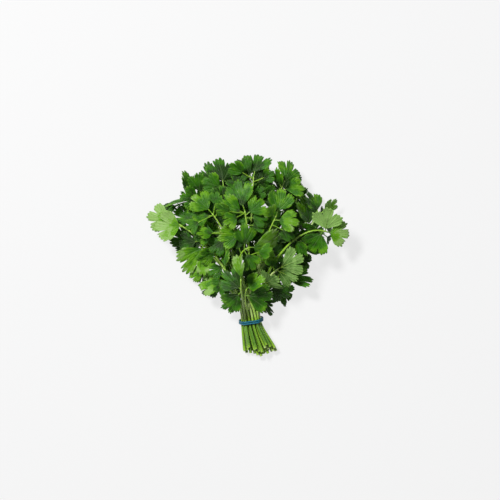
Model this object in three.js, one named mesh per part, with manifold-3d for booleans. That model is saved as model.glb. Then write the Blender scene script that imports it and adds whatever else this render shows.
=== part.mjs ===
// A bunch of fresh coriander lying on its side: 31 leafy stems gathered in a doubled rubber band.
// Millimetres. +Y runs along the bunch from the cut ends to the leaf tips, +X across it, +Z up from the
// surface it lies on. Every leafy stem grew as one piece, so its stalk, its stalklets and its leaflets are
// one solid. The stems pass the band side by side and fan out from it, and no leaf crosses another stem.
import * as THREE from 'three';
import Module from 'manifold-3d';

const wasm = await Module();
wasm.setup();

const DEGREE = Math.PI / 180;

// ---------------------------------------------------------------- driving sizes
const STEM_RADIUS = 1.2; // at the cut end
const TIP_RADIUS = 0.55; // where the last leaflets leave
const THICKEST = 1.06; // the thickest stem, as a share of those radii
const STEM_PITCH = 2.8; // between neighbouring stems in the band
const STEM_GAP = 0.5; // least clear space between two stems
const STEM_STEP = 2; // between two points of a stem's line
const LEG_POINTS = 60; // drawn on each of its two curves, before they are spaced evenly
const ROWS = [5, 6, 5, 6, 5, 4]; // stems in the band, row by row from the bottom
const ROW_PITCH = STEM_PITCH * Math.sqrt(3) / 2; // between two rows
const CUT_LENGTH = 25; // from the band to the cut ends of the lowest stems, at least
const CUT_EXTRA = 6; // how much further those in the middle may reach
const CUT_STEPPED = 7; // how much shorter the uppermost stems are cut
const CUT_SPREAD = 1.8; // how far the bundle opens over CUT_LENGTH below the band
const CUT_LEAN = 7.4; // how far it leans to +X over that length
const CUT_SWAY = 1.1; // how far a cut end strays to each side
const TAPER = 1.3; // above 1, a stalk keeps its thickness near its foot and loses it near its tip
const FLOOR_GAP = 0.05; // between the lowest stalk and the floor
const STALK_SIDES = 5;
const STALK_SAG = 0.35; // how far a straight stretch of a stalk's solid may stray from its line
const FINEST = 0.02; // a joined solid's seams are cleared of detail below this

const BLADE_THICKNESS = 0.75;
const ROOT_DEPTH = 0.5; // how far inside the stalk a leaflet starts
const BLADE_CLEARANCE = 1.75; // least distance between sampled points of two leaflets
const STALK_CLEARANCE = 1.2; // least distance between such a point and the skin of another stalk
const BLADE_SAMPLE = 2; // spacing of those points
const ROOT_FREE = 6.5; // leaflets of one stem may meet this close to their root
const MOST_TRIES = 36; // poses tried for a leaflet before it is left out
const LOOSEST = { heading: 50, pitch: 60, roll: 70, shorter: 0.45 }; // how far the last of them may stray
// how far ordinary leaflets differ from their plan
const PLAN_SWAY = { heading: 12, size: 0.1, pitch: 17, roll: 32 };

const STRAND = 1.35; // diameter of the rubber strand
const STRAND_PITCH = 1.5; // between its two turns
const BAND_CLEARANCE = 0.25; // between the inner turn and the stems
const BAND_TILT = 0.17; // how far the band leans towards the cut ends for each millimetre of height
const BAND_TURN = 0.14; // and away from them for each millimetre to +X
const BAND_REACH = 2.6; // half the length of bundle that the band may touch
const BAND_SWAP = 50 * DEGREE; // half the angle under the bundle in which its two turns change sides
const BAND_STEPS = 22; // rings in one turn
const STRAND_SIDES = 6;
const HOLD = STEM_RADIUS * THICKEST + BAND_CLEARANCE + STRAND / 2; // from a stem's middle to the strand's
const LOWEST_ROW = HOLD + STRAND_PITCH + STRAND / 2 + 2 * FLOOR_GAP; // in the band, over the floor
const BAND_MIDDLE = LOWEST_ROW + (ROWS.length - 1) * ROW_PITCH / 2; // its height

// ---------------------------------------------------------------- the stems
// tip: where the last leaflets leave the stalk. heading: the way the stalk points there, in degrees from +X.
// pitch: its rise there. leaflets: [distance back from the tip, heading, length, pitch, roll, stalklet, and how
// far its sides curl up if that is much]. A stem with a size and a number of pairs instead has its leaflets by
// the plan of an ordinary coriander leaf.
const STEMS = [
  // the left side
  { name: 'left_high', tip: [-63, 80, 22], heading: 156, pitch: -4, leaflets: [
    [0, 168, 19, -12, -8, 3], [9, 176, 21, 14, 8, 3], [31, 236, 25, -2, -8, 4], [33, 75, 17, 12, 10, 6],
    [27, 190, 17, -24, 0, 5]] },
  { name: 'left_top', tip: [-49, 98, 14], heading: 104, pitch: 4, leaflets: [
    [0, 91, 20, 4, 62, 3], [1, 172, 20, 2, 82, 3], [6, 132, 10, 16, 40, 5], [14, 50, 19, -4, 0, 6],
    [22, 150, 17, -2, 0, 7]] },
  { name: 'left_low', tip: [-37, 40, 17], heading: 158, pitch: -10, leaflets: [
    [0, 196, 13, -8, 0, 2], [3, 132, 17, -6, 10, 5], [15, 186, 18, -6, 30, 2], [24, 140, 17, -14, 10, 3]] },
  { name: 'left_base', tip: [-9.5, 18.5, 16], heading: 190, pitch: -6, leaflets: [
    [0, 208, 17, -14, 20, 2]] },
  { name: 'left_upper', tip: [-21, 42, 34], heading: 110, pitch: 6, leaflets: [
    [0, 74, 18, 8, -58, 2], [9, 215, 14, -12, 10, 3]] },
  { name: 'left_flat', tip: [-44, 62, 5], heading: 148, pitch: -2, size: 20, pairs: 3 },
  // the middle, front side
  { name: 'middle_tall', tip: [-8, 34, 44], heading: 88, pitch: 10, leaflets: [
    [0, 84, 22, 6, -40, 2], [9, 136, 19, 0, -8, 2], [11, 226, 17, -8, -14, 3]] },
  { name: 'middle_arch', tip: [0, 59, 43], heading: 10, pitch: -6, leaflets: [
    [0, -4, 26, -6, 36, 2], [6, 62, 19, 8, 0, 5], [9, 128, 17, 8, 0, 5]] },
  { name: 'front_cup', tip: [-3.5, 26, 34], heading: 70, pitch: 8, leaflets: [
    [0, 34, 16, 22, -20, 2, 0.11], [5, -6, 21, 5, 26, 3]] },
  // the right side
  { name: 'right_high', tip: [61, 71, 31], heading: -22, pitch: -10, leaflets: [
    [0, -6, 17, -8, 6, 2], [1, 82, 20, 8, 180, 2], [3, 240, 19, -16, 0, 3], [2, 190, 20, -8, -14, 3]] },
  { name: 'right_top', tip: [54, 86, 13], heading: 62, pitch: 0, leaflets: [
    [0, 104, 17, 6, 52, 3], [2, 33, 13, 10, 58, 8], [14, 97, 26, 2, 42, 4], [11, 130, 18, 8, 16, 5],
    [24, 20, 16, -4, 0, 6]] },
  { name: 'right_middle', tip: [22, 42, 26], heading: 34, pitch: 0, leaflets: [
    [0, 24, 23, 4, 176, 2], [1, -26, 17, -8, 180, 2], [4, 64, 16, 8, 44, 6], [18, 50, 21, 12, 170, 3]] },
  { name: 'right_low', tip: [27, 34, 14], heading: -4, pitch: -6, leaflets: [
    [0, 2, 22, -4, -42, 2], [5, 52, 17, -4, 0, 5]] },
  { name: 'right_base', tip: [16, 28, 12], heading: -30, pitch: -6, leaflets: [
    [0, -38, 17, -8, 26, 2], [5, 24, 15, -10, 0, 4]] },
  { name: 'right_hanging', tip: [9.5, 17, 8.5], heading: -60, pitch: -8, leaflets: [
    [0, -72, 14, -10, 50, 2]] },
  { name: 'right_flat', tip: [38, 56, 5], heading: 32, pitch: -2, size: 19, pairs: 3 },
  // the far side
  { name: 'far_left_edge', tip: [-40, 100, 21], heading: 122, pitch: 0, size: 19, pairs: 3 },
  { name: 'far_left', tip: [-22, 108, 32], heading: 104, pitch: 2, size: 20, pairs: 3 },
  { name: 'far_middle', tip: [2, 115, 36], heading: 88, pitch: 0, size: 20, pairs: 3 },
  { name: 'far_right', tip: [25, 108, 31], heading: 72, pitch: 2, size: 20, pairs: 3 },
  { name: 'far_right_edge', tip: [36, 95, 18], heading: 62, pitch: 0, size: 18, pairs: 3 },
  { name: 'top_left', tip: [-31, 86, 40], heading: 128, pitch: 4, size: 19, pairs: 3 },
  { name: 'top_middle', tip: [-5, 88, 47], heading: 100, pitch: 4, size: 20, pairs: 3 },
  { name: 'top_right', tip: [20, 84, 42], heading: 64, pitch: 4, size: 20, pairs: 3 },
  { name: 'low_far_left', tip: [-26, 106, 8], heading: 110, pitch: -2, size: 19, pairs: 3 },
  { name: 'low_far_middle', tip: [0, 114, 14], heading: 92, pitch: -2, size: 20, pairs: 3 },
  { name: 'low_far_right', tip: [27, 102, 8], heading: 74, pitch: -2, size: 19, pairs: 3 },
  { name: 'low_left', tip: [-22, 70, 7], heading: 126, pitch: -2, size: 20, pairs: 3 },
  { name: 'low_right', tip: [22, 68, 7], heading: 56, pitch: -2, size: 20, pairs: 3 },
  { name: 'inner_left', tip: [-28, 60, 22], heading: 140, pitch: 2, size: 19, pairs: 2 },
  { name: 'inner_right', tip: [14, 62, 27], heading: 58, pitch: 2, size: 19, pairs: 2 },
];

// The plan of an ordinary leaf: its end leaflet, then its pairs. [back from the tip, turn from the stalk, share
// of the size, stalklet]
const LEAF_PLAN = [
  [0, 0, 1, 4], [2, 62, 0.86, 4], [4, -62, 0.86, 4], [17, 68, 0.92, 8], [20, -68, 0.92, 8],
  [34, 60, 0.85, 12], [37, -60, 0.85, 12],
];

// ---------------------------------------------------------------- small helpers
// Numbers from 0 to 1 that are the same on every run.
function seeded(seed) {
  let state = Math.imul(seed + 1, 2654435761) >>> 0;
  const next = () => {
    state = (Math.imul(state, 1664525) + 1013904223) >>> 0;
    return state / 4294967296;
  };
  next();
  next();
  return next;
}

function direction(heading, pitch) {
  const [h, p] = [heading * DEGREE, pitch * DEGREE];
  return new THREE.Vector3(Math.cos(h) * Math.cos(p), Math.sin(h) * Math.cos(p), Math.sin(p));
}

// ---------------------------------------------------------------- the lines of the stalks
// The stems' places in the band, the bottom row first, each row from -X to +X.
function bandPlaces() {
  return ROWS.flatMap((count, row) => Array.from({ length: count }, (_, k) => new THREE.Vector3(
    (k - (count - 1) / 2) * STEM_PITCH, 0, LOWEST_ROW + row * ROW_PITCH)));
}

// Gives each stem the place in the band that keeps its neighbours beside it, so that the fan opens uncrossed:
// the stems that rise least take the bottom row, and in a row they stand in the order in which they fan out.
function stemsInOrder() {
  const FOCUS = 45; // seen from the side, the stems rise as if from a point this far below the band
  const rise = (s) => (s.tip[2] - BAND_MIDDLE) / (s.tip[1] + FOCUS);
  const fan = (s) => s.tip[0] / s.tip[1];
  const places = bandPlaces();
  const sorted = STEMS.map((s, k) => ({ ...s, seed: k })).sort((a, b) => rise(a) - rise(b));
  const ordered = [];
  let first = 0;
  for (const count of ROWS) {
    ordered.push(...sorted.slice(first, first + count).sort((a, b) => fan(a) - fan(b)));
    first += count;
  }
  return ordered.map((s, k) => ({ ...s, place: places[k] }));
}

// The point at share t of the way along a curve that leaves a towards b and reaches d from c.
function bezier(a, b, c, d, t) {
  const s = 1 - t;
  return new THREE.Vector3().addScaledVector(a, s * s * s).addScaledVector(b, 3 * s * s * t)
    .addScaledVector(c, 3 * s * t * t).addScaledVector(d, t * t * t);
}

// Points at even distances along a line of closer ones.
function evenly(points, step) {
  const lengths = [0];
  for (let k = 1; k < points.length; k += 1) lengths.push(lengths[k - 1] + points[k].distanceTo(points[k - 1]));
  const count = Math.round(lengths.at(-1) / step);
  const even = [];
  let from = 0;
  for (let k = 0; k <= count; k += 1) {
    const at = lengths.at(-1) * k / count;
    while (from < points.length - 2 && lengths[from + 1] < at) from += 1;
    const share = (at - lengths[from]) / (lengths[from + 1] - lengths[from]);
    even.push(points[from].clone().lerp(points[from + 1], share));
  }
  return even;
}

// A stem's line from its cut end, through the band, to its tip, as points STEM_STEP apart.
function stemLine(stem) {
  const random = seeded(stem.seed);
  const sway = (range) => (2 * random() - 1) * range;
  const band = stem.place;
  const middle = 1 - Math.min(1, Math.abs(band.x) / (3 * STEM_PITCH));
  const height = (band.z - LOWEST_ROW) / ROW_PITCH / (ROWS.length - 1); // from 0 in the lowest row to 1
  const length = CUT_LENGTH + CUT_EXTRA * middle * random() - CUT_STEPPED * height * (0.7 + sway(0.3));
  const share = length / CUT_LENGTH;
  const fallen = STEM_RADIUS * THICKEST + FLOOR_GAP - LOWEST_ROW; // the lowest row comes to lie on the floor
  const cut = new THREE.Vector3(
    band.x + (CUT_LEAN + band.x * (CUT_SPREAD - 1)) * share + sway(CUT_SWAY),
    -length,
    band.z + fallen * share + sway(CUT_SWAY / 2),
  );
  const tip = new THREE.Vector3(...stem.tip);
  const reach = tip.distanceTo(band);
  const along = band.clone().sub(cut).normalize().add(new THREE.Vector3(0, 1, 0)).normalize();
  const end = direction(stem.heading, stem.pitch);
  const third = (from, towards, size) => from.clone().addScaledVector(towards, size * reach / 3);
  const legs = [
    [cut, cut.clone().lerp(band, 1 / 3), band.clone().addScaledVector(along, -length / 3), band],
    [band, third(band, along, 0.9), third(tip, end, -1), tip],
  ];
  const points = legs.flatMap((leg, n) => (
    Array.from({ length: LEG_POINTS + n }, (_, k) => bezier(...leg, k / LEG_POINTS))));
  return evenly(points, STEM_STEP);
}

function stemRadius(stem, share) {
  const thinnest = 2 - THICKEST;
  const own = thinnest + (THICKEST - thinnest) * seeded(stem.seed + 500)();
  return own * (STEM_RADIUS + (TIP_RADIUS - STEM_RADIUS) * share ** TAPER);
}

// Pushes stems that come too close apart, a little at a time, and spreads each push along the stem. The
// points near the band stay, because the band holds them.
function partStems(stems) {
  const ROUNDS = 150;
  const HELD = 1; // half the length of bundle that the band holds still
  const EASING = 8; // the length over which the stems come free of it
  for (let round = 0; round < ROUNDS; round += 1) {
    const push = stems.map((s) => s.line.map(() => new THREE.Vector3()));
    const pushApart = (a, b) => stems[a].line.forEach((p, m) => stems[b].line.forEach((q, n) => {
      const least = stems[a].radii[m] + stems[b].radii[n] + STEM_GAP;
      if (Math.abs(p.y - q.y) > least || Math.abs(p.x - q.x) > least) return;
      const apart = p.distanceTo(q);
      if (apart >= least || apart === 0) return;
      const shift = p.clone().sub(q).multiplyScalar((least - apart) / apart / 2);
      push[a][m].add(shift);
      push[b][n].sub(shift);
    }));
    stems.forEach((_, a) => stems.slice(a + 1).forEach((other, k) => pushApart(a, a + 1 + k)));
    stems.forEach((s, i) => {
      const eased = push[i].map((p, m) => p.clone().multiplyScalar(0.5)
        .addScaledVector(push[i][Math.max(0, m - 1)], 0.25)
        .addScaledVector(push[i][Math.min(s.line.length - 1, m + 1)], 0.25));
      s.line.forEach((p, m) => {
        const free = Math.min(1, Math.max(0, (Math.abs(p.y) - HELD) / EASING));
        p.addScaledVector(eased[m], free);
        p.z = Math.max(p.z, s.radii[m] + FLOOR_GAP);
      });
    });
  }
}

// ---------------------------------------------------------------- the leaflets
// A leaflet's own frame: root is where its stalklet leaves the stalk, the first axis runs out along it, the
// third is the upper side's normal. bend curls it down along its length, cup curls its sides up, wave lifts
// its rim in waves.
function leafletFrame(root, heading, pitch, roll) {
  const forward = direction(heading, pitch);
  const level = new THREE.Vector3(-Math.sin(heading * DEGREE), Math.cos(heading * DEGREE), 0);
  const up = forward.clone().cross(level);
  const [c, s] = [Math.cos(roll * DEGREE), Math.sin(roll * DEGREE)];
  return {
    root,
    forward,
    side: level.clone().multiplyScalar(c).addScaledVector(up, s),
    normal: up.clone().multiplyScalar(c).addScaledVector(level, -s),
  };
}

// The point of the leaflet's middle surface at u along it and v across it, both measured on the flat leaf.
function bladePoint(leaf, u, v, lift = 0) {
  const blade = Math.max(0, u - leaf.stalklet) / leaf.length;
  const ripple = leaf.wave * blade * blade * Math.sin(leaf.phase + leaf.ripples * Math.atan2(v, u));
  const across = Math.sin(leaf.cup * v) / leaf.cup;
  const height = (1 - Math.cos(leaf.cup * v)) / leaf.cup + ripple + lift;
  const turn = leaf.bend * u;
  const along = Math.sin(turn) / leaf.bend + height * Math.sin(turn);
  const drop = (Math.cos(turn) - 1) / leaf.bend + height * Math.cos(turn);
  return leaf.root.clone().addScaledVector(leaf.forward, along)
    .addScaledVector(leaf.side, across).addScaledVector(leaf.normal, drop);
}

// A blade has three lobes. at: how many lobeTurns a lobe points off the midrib. reach: its length, of the
// leaflet's. rim: the tops (1) of its teeth and the notches (0) between them, each with its place across the
// lobe, from -1 to 1.
const OUTERMOST = 0.9;
const LOBES = [
  { at: -1, reach: 0.9, rim: [[-OUTERMOST, 1], [-0.5, 1], [0, 0], [0.5, 1]] },
  { at: 0, reach: 1, rim: [[-0.45, 1], [0, 0], [0.45, 1]] },
  { at: 1, reach: 0.9, rim: [[-0.5, 1], [0, 0], [0.5, 1], [OUTERMOST, 1]] },
];
const LOBE_ROUNDNESS = 0.26; // low for lobes with a broad end
const TOOTH_DEPTH = 0.11;
const BASE_WIDTH = 0.11; // half the blade's width at its base, of its length
const BASE_START = 0.06; // how far past the stalklet that is, of its length
const HUB_SHARE = 0.45; // the point that a blade's triangles fan out from, of its length

// How far the flat blade reaches from its base at an angle off its midrib, before teeth and clefts.
function bladeReach(leaf, angle) {
  const lobe = LOBES[1 + Math.max(-1, Math.min(1, Math.round(angle / leaf.lobeTurn)))];
  const across = Math.abs(angle - lobe.at * leaf.lobeTurn) / leaf.lobeWidth;
  return across < 1 ? leaf.length * lobe.reach * Math.cos(across * Math.PI / 2) ** LOBE_ROUNDNESS : 0;
}

// The rim of the flat blade as [angle, reach], from one side of the wedge-shaped base to the other: the top
// of every tooth, the notches between them, and the cleft between two lobes.
function rimOf(leaf) {
  const rim = [];
  for (const lobe of LOBES) {
    if (rim.length) {
      const between = (lobe.at - 0.5) * leaf.lobeTurn;
      rim.push([between, bladeReach(leaf, between) * (1 - leaf.cleft)]);
    }
    for (const [place, tooth] of lobe.rim) {
      const angle = lobe.at * leaf.lobeTurn + place * leaf.lobeWidth;
      rim.push([angle, bladeReach(leaf, angle) * (1 - TOOTH_DEPTH * (1 - tooth))]);
    }
  }
  return rim;
}

// Points all over a leaflet, for testing how close it comes to others, each with its distance from the root.
function bladeSamples(leaf) {
  const points = [];
  const add = (u, v) => points.push([bladePoint(leaf, u, v), u]);
  for (let u = 1; u < leaf.stalklet; u += BLADE_SAMPLE) add(u, 0);
  for (let reach = BLADE_SAMPLE; reach <= leaf.length; reach += BLADE_SAMPLE) {
    const widest = leaf.lobeTurn + OUTERMOST * leaf.lobeWidth;
    const count = Math.ceil(2 * widest * DEGREE * reach / BLADE_SAMPLE) + 1;
    for (let k = 0; k < count; k += 1) {
      const angle = (2 * k / (count - 1) - 1) * widest;
      if (reach > bladeReach(leaf, angle)) continue;
      add(leaf.stalklet + reach * Math.cos(angle * DEGREE), reach * Math.sin(angle * DEGREE));
    }
  }
  points.forEach(([p]) => { p.z = Math.max(p.z, BLADE_THICKNESS / 2); });
  return points;
}

// The leaflets that a stem should have, before any of them makes room for others.
function leafletPlan(stem) {
  if (stem.leaflets) return stem.leaflets;
  const random = seeded(stem.seed + 1000);
  const sway = (range) => (2 * random() - 1) * range;
  return LEAF_PLAN.slice(0, 1 + 2 * stem.pairs).map(([back, turn, share, stalklet]) => [
    back, stem.heading + turn + sway(PLAN_SWAY.heading), stem.size * share * (1 + sway(PLAN_SWAY.size)),
    stem.pitch + sway(PLAN_SWAY.pitch), sway(PLAN_SWAY.roll), stalklet]);
}

// Grows the leaflets of every stem, those with a stated plan first. One that would come too close to another
// leaflet or to another stalk turns, tilts and in the end shrinks until it is clear, or is left out.
function growLeaflets(stems) {
  const placed = [];
  const order = [...stems].sort((a, b) => Boolean(b.leaflets) - Boolean(a.leaflets) || a.seed - b.seed);
  for (const stem of order) {
    stem.blades = [];
    leafletPlan(stem).forEach(([back, heading, length, pitch, roll, stalklet, curl], k) => {
      const random = seeded(stem.seed * 100 + k);
      const at = stem.line.length - 1 - Math.round(back / STEM_STEP);
      const between = (low, high) => low + (high - low) * random();
      const lobeTurn = between(27, 37);
      const shape = {
        stalklet,
        lobeTurn,
        lobeWidth: lobeTurn * between(0.84, 0.96),
        cleft: between(0.02, 0.15),
        bend: between(0.008, 0.038),
        cup: between(-0.018, 0.042) + (curl ?? 0),
        wave: between(0.6, 1.8),
        ripples: between(4, 6),
        phase: between(0, 2 * Math.PI),
      };
      for (let attempt = 0; attempt < MOST_TRIES; attempt += 1) {
        const loose = attempt / MOST_TRIES;
        const sway = (range) => between(-range, range) * loose;
        const axes = leafletFrame(stem.line[at], heading + sway(LOOSEST.heading), pitch + sway(LOOSEST.pitch),
          roll + sway(LOOSEST.roll));
        const leaf = { ...shape, ...axes, at, length: length * (1 - LOOSEST.shorter * loose * loose) };
        const samples = bladeSamples(leaf);
        if (!isClear(samples, stem, stems, placed)) continue;
        leaf.samples = samples;
        leaf.stem = stem;
        const box = new THREE.Box3().setFromPoints(samples.map(([p]) => p));
        leaf.ball = box.getBoundingSphere(new THREE.Sphere());
        placed.push(leaf);
        stem.blades.push(leaf);
        return;
      }
    });
  }
}

function isClear(samples, stem, stems, placed) {
  const ball = new THREE.Box3().setFromPoints(samples.map(([p]) => p)).getBoundingSphere(new THREE.Sphere());
  for (const other of stems) {
    if (other === stem) continue;
    for (let m = 0; m < other.line.length; m += 1) {
      const q = other.line[m];
      const least = other.radii[m] + STALK_CLEARANCE;
      if (q.distanceTo(ball.center) > ball.radius + least) continue;
      if (samples.some(([p]) => p.distanceTo(q) < least)) return false;
    }
  }
  for (const other of placed) {
    const apart = other.ball.center.distanceTo(ball.center);
    if (apart > other.ball.radius + ball.radius + BLADE_CLEARANCE) continue;
    const same = other.stem === stem;
    for (const [p, u] of samples) {
      for (const [q, w] of other.samples) {
        if (same && (u < ROOT_FREE || w < ROOT_FREE)) continue;
        if (p.distanceTo(q) < BLADE_CLEARANCE) return false;
      }
    }
  }
  return true;
}

// ---------------------------------------------------------------- solids
function solidFrom(points, triangles) {
  const mesh = new wasm.Mesh({
    numProp: 3,
    vertProperties: Float32Array.from(points.flatMap((p) => [p.x, p.y, p.z])),
    triVerts: Uint32Array.from(triangles.flat()),
  });
  return new wasm.Manifold(mesh);
}

// A round rod along a line of points, with a radius at each.
function rodSolid(line, radii, sides) {
  const curve = new THREE.CatmullRomCurve3(line);
  const frames = curve.computeFrenetFrames(line.length - 1, false);
  const points = line.flatMap((p, k) => Array.from({ length: sides }, (_, s) => {
    const angle = 2 * Math.PI * s / sides;
    return p.clone().addScaledVector(frames.normals[k], radii[k] * Math.cos(angle))
      .addScaledVector(frames.binormals[k], radii[k] * Math.sin(angle));
  }));
  const triangles = [];
  for (let k = 0; k + 1 < line.length; k += 1) {
    for (let s = 0; s < sides; s += 1) {
      const [a, b] = [k * sides + s, k * sides + (s + 1) % sides];
      triangles.push([a, b, b + sides], [a, b + sides, a + sides]);
    }
  }
  for (let s = 1; s + 1 < sides; s += 1) {
    const last = (line.length - 1) * sides;
    triangles.push([0, s + 1, s], [last, last + s, last + s + 1]);
  }
  return solidFrom(points, triangles);
}

// A leaflet with its stalklet as one thin solid. Its two faces share one layout of triangles, which fan out
// from a point on the midrib.
function leafletSolid(leaf) {
  const base = [leaf.stalklet + BASE_START * leaf.length, BASE_WIDTH * leaf.length];
  const rim = rimOf(leaf).map(([angle, reach]) => [
    leaf.stalklet + reach * Math.cos(angle * DEGREE), reach * Math.sin(angle * DEGREE)]);
  const flat = [[-ROOT_DEPTH, 0], [base[0], -base[1]], ...rim, base];
  const count = flat.length;
  const hub = count;
  flat.push([leaf.stalklet + leaf.length * HUB_SHARE, 0]);
  const face = [[0, 1, count - 1], [1, hub, count - 1]];
  for (let k = 1; k < count - 1; k += 1) face.push([hub, k, k + 1]);
  const thick = BLADE_THICKNESS / 2;
  const layer = (lift, floor) => flat.map(([u, v]) => {
    const p = bladePoint(leaf, u, v, lift);
    p.z = Math.max(p.z, floor);
    return p;
  });
  const points = [...layer(thick, BLADE_THICKNESS), ...layer(-thick, 0)];
  const under = flat.length;
  const triangles = face.flatMap(([a, b, c]) => [[a, b, c], [under + a, under + c, under + b]]);
  for (let k = 0; k < count; k += 1) {
    const next = (k + 1) % count;
    triangles.push([k, under + k, under + next], [k, under + next, next]);
  }
  return solidFrom(points, triangles);
}

function geometryFrom(solid) {
  const { numProp, vertProperties, triVerts } = solid.getMesh();
  const positions = Float32Array.from({ length: vertProperties.length / numProp * 3 },
    (_, k) => vertProperties[Math.floor(k / 3) * numProp + k % 3]);
  return new THREE.BufferGeometry()
    .setAttribute('position', new THREE.BufferAttribute(positions, 3))
    .setIndex(new THREE.BufferAttribute(triVerts, 1));
}

// The points of a line, from one to another, that its solid needs to stay within STALK_SAG of it.
function neededPoints(line, from, to) {
  const chord = new THREE.Line3(line[from], line[to]);
  const nearest = new THREE.Vector3();
  let [worst, at] = [STALK_SAG, 0];
  for (let k = from + 1; k < to; k += 1) {
    chord.closestPointToPoint(line[k], true, nearest);
    const off = nearest.distanceTo(line[k]);
    if (off > worst) [worst, at] = [off, k];
  }
  return at ? [...neededPoints(line, from, at), ...neededPoints(line, at, to).slice(1)] : [from, to];
}

// A stem with all its leaflets.
function leafyStem(stem) {
  const kept = neededPoints(stem.line, 0, stem.line.length - 1);
  let solid = rodSolid(kept.map((k) => stem.line[k]), kept.map((k) => stem.radii[k]), STALK_SIDES);
  for (const leaf of stem.blades) solid = solid.add(leafletSolid(leaf));
  return solid.simplify(FINEST);
}

// The outline of a rubber band drawn tight round some discs: the point that faces each angle.
function tautPoint(centres, reach, angle) {
  const [c, s] = [Math.cos(angle), Math.sin(angle)];
  const outmost = centres.reduce((best, p) => (p.x * c + p.z * s > best.x * c + best.z * s ? p : best));
  return [outmost.x + reach * c, outmost.z + reach * s];
}

// The rubber band is one loop that goes round the bundle twice. Its two turns lie beside each other, and under
// the bundle one passes below the other, so that they change sides and the loop closes.
function rubberBand(stems) {
  const slant = (x, z) => BAND_TURN * x - BAND_TILT * (z - BAND_MIDDLE);
  const held = stems.flatMap((s) => s.line.filter((p) => Math.abs(p.y - slant(p.x, p.z)) < BAND_REACH));
  const count = 2 * BAND_STEPS;
  const line = Array.from({ length: count }, (_, k) => {
    const travelled = 2 * Math.PI * k / BAND_STEPS; // since the first passing under the bundle
    const passing = Math.round(k / BAND_STEPS);
    const past = (travelled - 2 * Math.PI * passing) / BAND_SWAP;
    const twist = Math.PI * passing + Math.PI / 2 * Math.max(-1, Math.min(1, past));
    const outside = STRAND_PITCH * Math.max(0, Math.cos(twist));
    const [x, z] = tautPoint(held, HOLD + outside, travelled - Math.PI / 2);
    return new THREE.Vector3(x, slant(x, z) + STRAND_PITCH / 2 * Math.sin(twist), z);
  });
  const points = [];
  const triangles = [];
  line.forEach((p, k) => {
    const ahead = line[(k + 1) % count].clone().sub(line[(k + count - 1) % count]).normalize();
    const out = new THREE.Vector3(0, 1, 0).cross(ahead).normalize();
    const side = ahead.clone().cross(out);
    for (let n = 0; n < STRAND_SIDES; n += 1) {
      const angle = 2 * Math.PI * n / STRAND_SIDES;
      points.push(p.clone().addScaledVector(out, STRAND / 2 * Math.cos(angle))
        .addScaledVector(side, STRAND / 2 * Math.sin(angle)));
      const [a, b] = [k * STRAND_SIDES + n, k * STRAND_SIDES + (n + 1) % STRAND_SIDES];
      const [c, d] = [a, b].map((v) => (v + STRAND_SIDES) % (count * STRAND_SIDES));
      triangles.push([a, b, d], [a, d, c]);
    }
  });
  return solidFrom(points, triangles);
}

// ---------------------------------------------------------------- assembly
const leafGreen = new THREE.MeshStandardMaterial({ color: 0x4d8a2c, roughness: 0.55, metalness: 0 });
const tealRubber = new THREE.MeshStandardMaterial({ color: 0x1f7f9c, roughness: 0.5, metalness: 0 });

const stems = stemsInOrder();
for (const stem of stems) {
  stem.line = stemLine(stem);
  stem.radii = stem.line.map((_, k) => stemRadius(stem, k / (stem.line.length - 1)));
}
partStems(stems);
growLeaflets(stems);

const bunch = new THREE.Group();
function addPiece(name, solid, material) {
  const mesh = new THREE.Mesh(geometryFrom(solid), material);
  mesh.name = name;
  bunch.add(mesh);
}
for (const stem of stems) addPiece(`stem_${stem.name}`, leafyStem(stem), leafGreen);
addPiece('rubber_band', rubberBand(stems), tealRubber);

// The origin is the middle of the bunch's footprint, on the floor.
const extent = new THREE.Box3().setFromObject(bunch, true);
const foot = extent.getCenter(new THREE.Vector3()).setZ(extent.min.z);
bunch.children.forEach((piece) => piece.geometry.translate(-foot.x, -foot.y, -foot.z));

export default bunch;
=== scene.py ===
"""A bunch of fresh coriander lying on its side, held by a doubled rubber band.

Sizes are millimetres in the bunch's own axes until a piece is made: +Y runs along the bunch from the cut
ends to the leaf tips, +X across it, +Z up. Y = 0 is the rubber band and Z = 0 the surface under the bunch.
"""
import math

import bpy
import numpy as np
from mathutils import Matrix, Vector


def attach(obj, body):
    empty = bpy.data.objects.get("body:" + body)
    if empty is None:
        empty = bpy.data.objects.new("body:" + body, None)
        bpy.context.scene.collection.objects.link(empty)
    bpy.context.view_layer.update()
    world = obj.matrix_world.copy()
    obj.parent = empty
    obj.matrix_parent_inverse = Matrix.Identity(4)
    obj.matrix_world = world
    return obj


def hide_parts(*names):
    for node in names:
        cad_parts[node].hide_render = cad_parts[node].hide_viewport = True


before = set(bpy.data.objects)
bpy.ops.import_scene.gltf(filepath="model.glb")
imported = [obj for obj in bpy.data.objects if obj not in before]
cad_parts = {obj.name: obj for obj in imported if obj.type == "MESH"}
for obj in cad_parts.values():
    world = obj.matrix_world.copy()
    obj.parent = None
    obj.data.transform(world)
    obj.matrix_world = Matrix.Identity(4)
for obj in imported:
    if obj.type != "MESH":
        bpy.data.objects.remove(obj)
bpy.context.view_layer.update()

# ---- sizes shared with the part
MM = 0.001
SEEDS = {"thickness": 500, "plan": 1000, "tones": 3000, "rims": 7000, "young": 20000}  # added to a stem's own
FOOT = (-2.486507, 52.495883, 0.0)  # the middle of the bunch's footprint, which is the frame's origin

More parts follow.
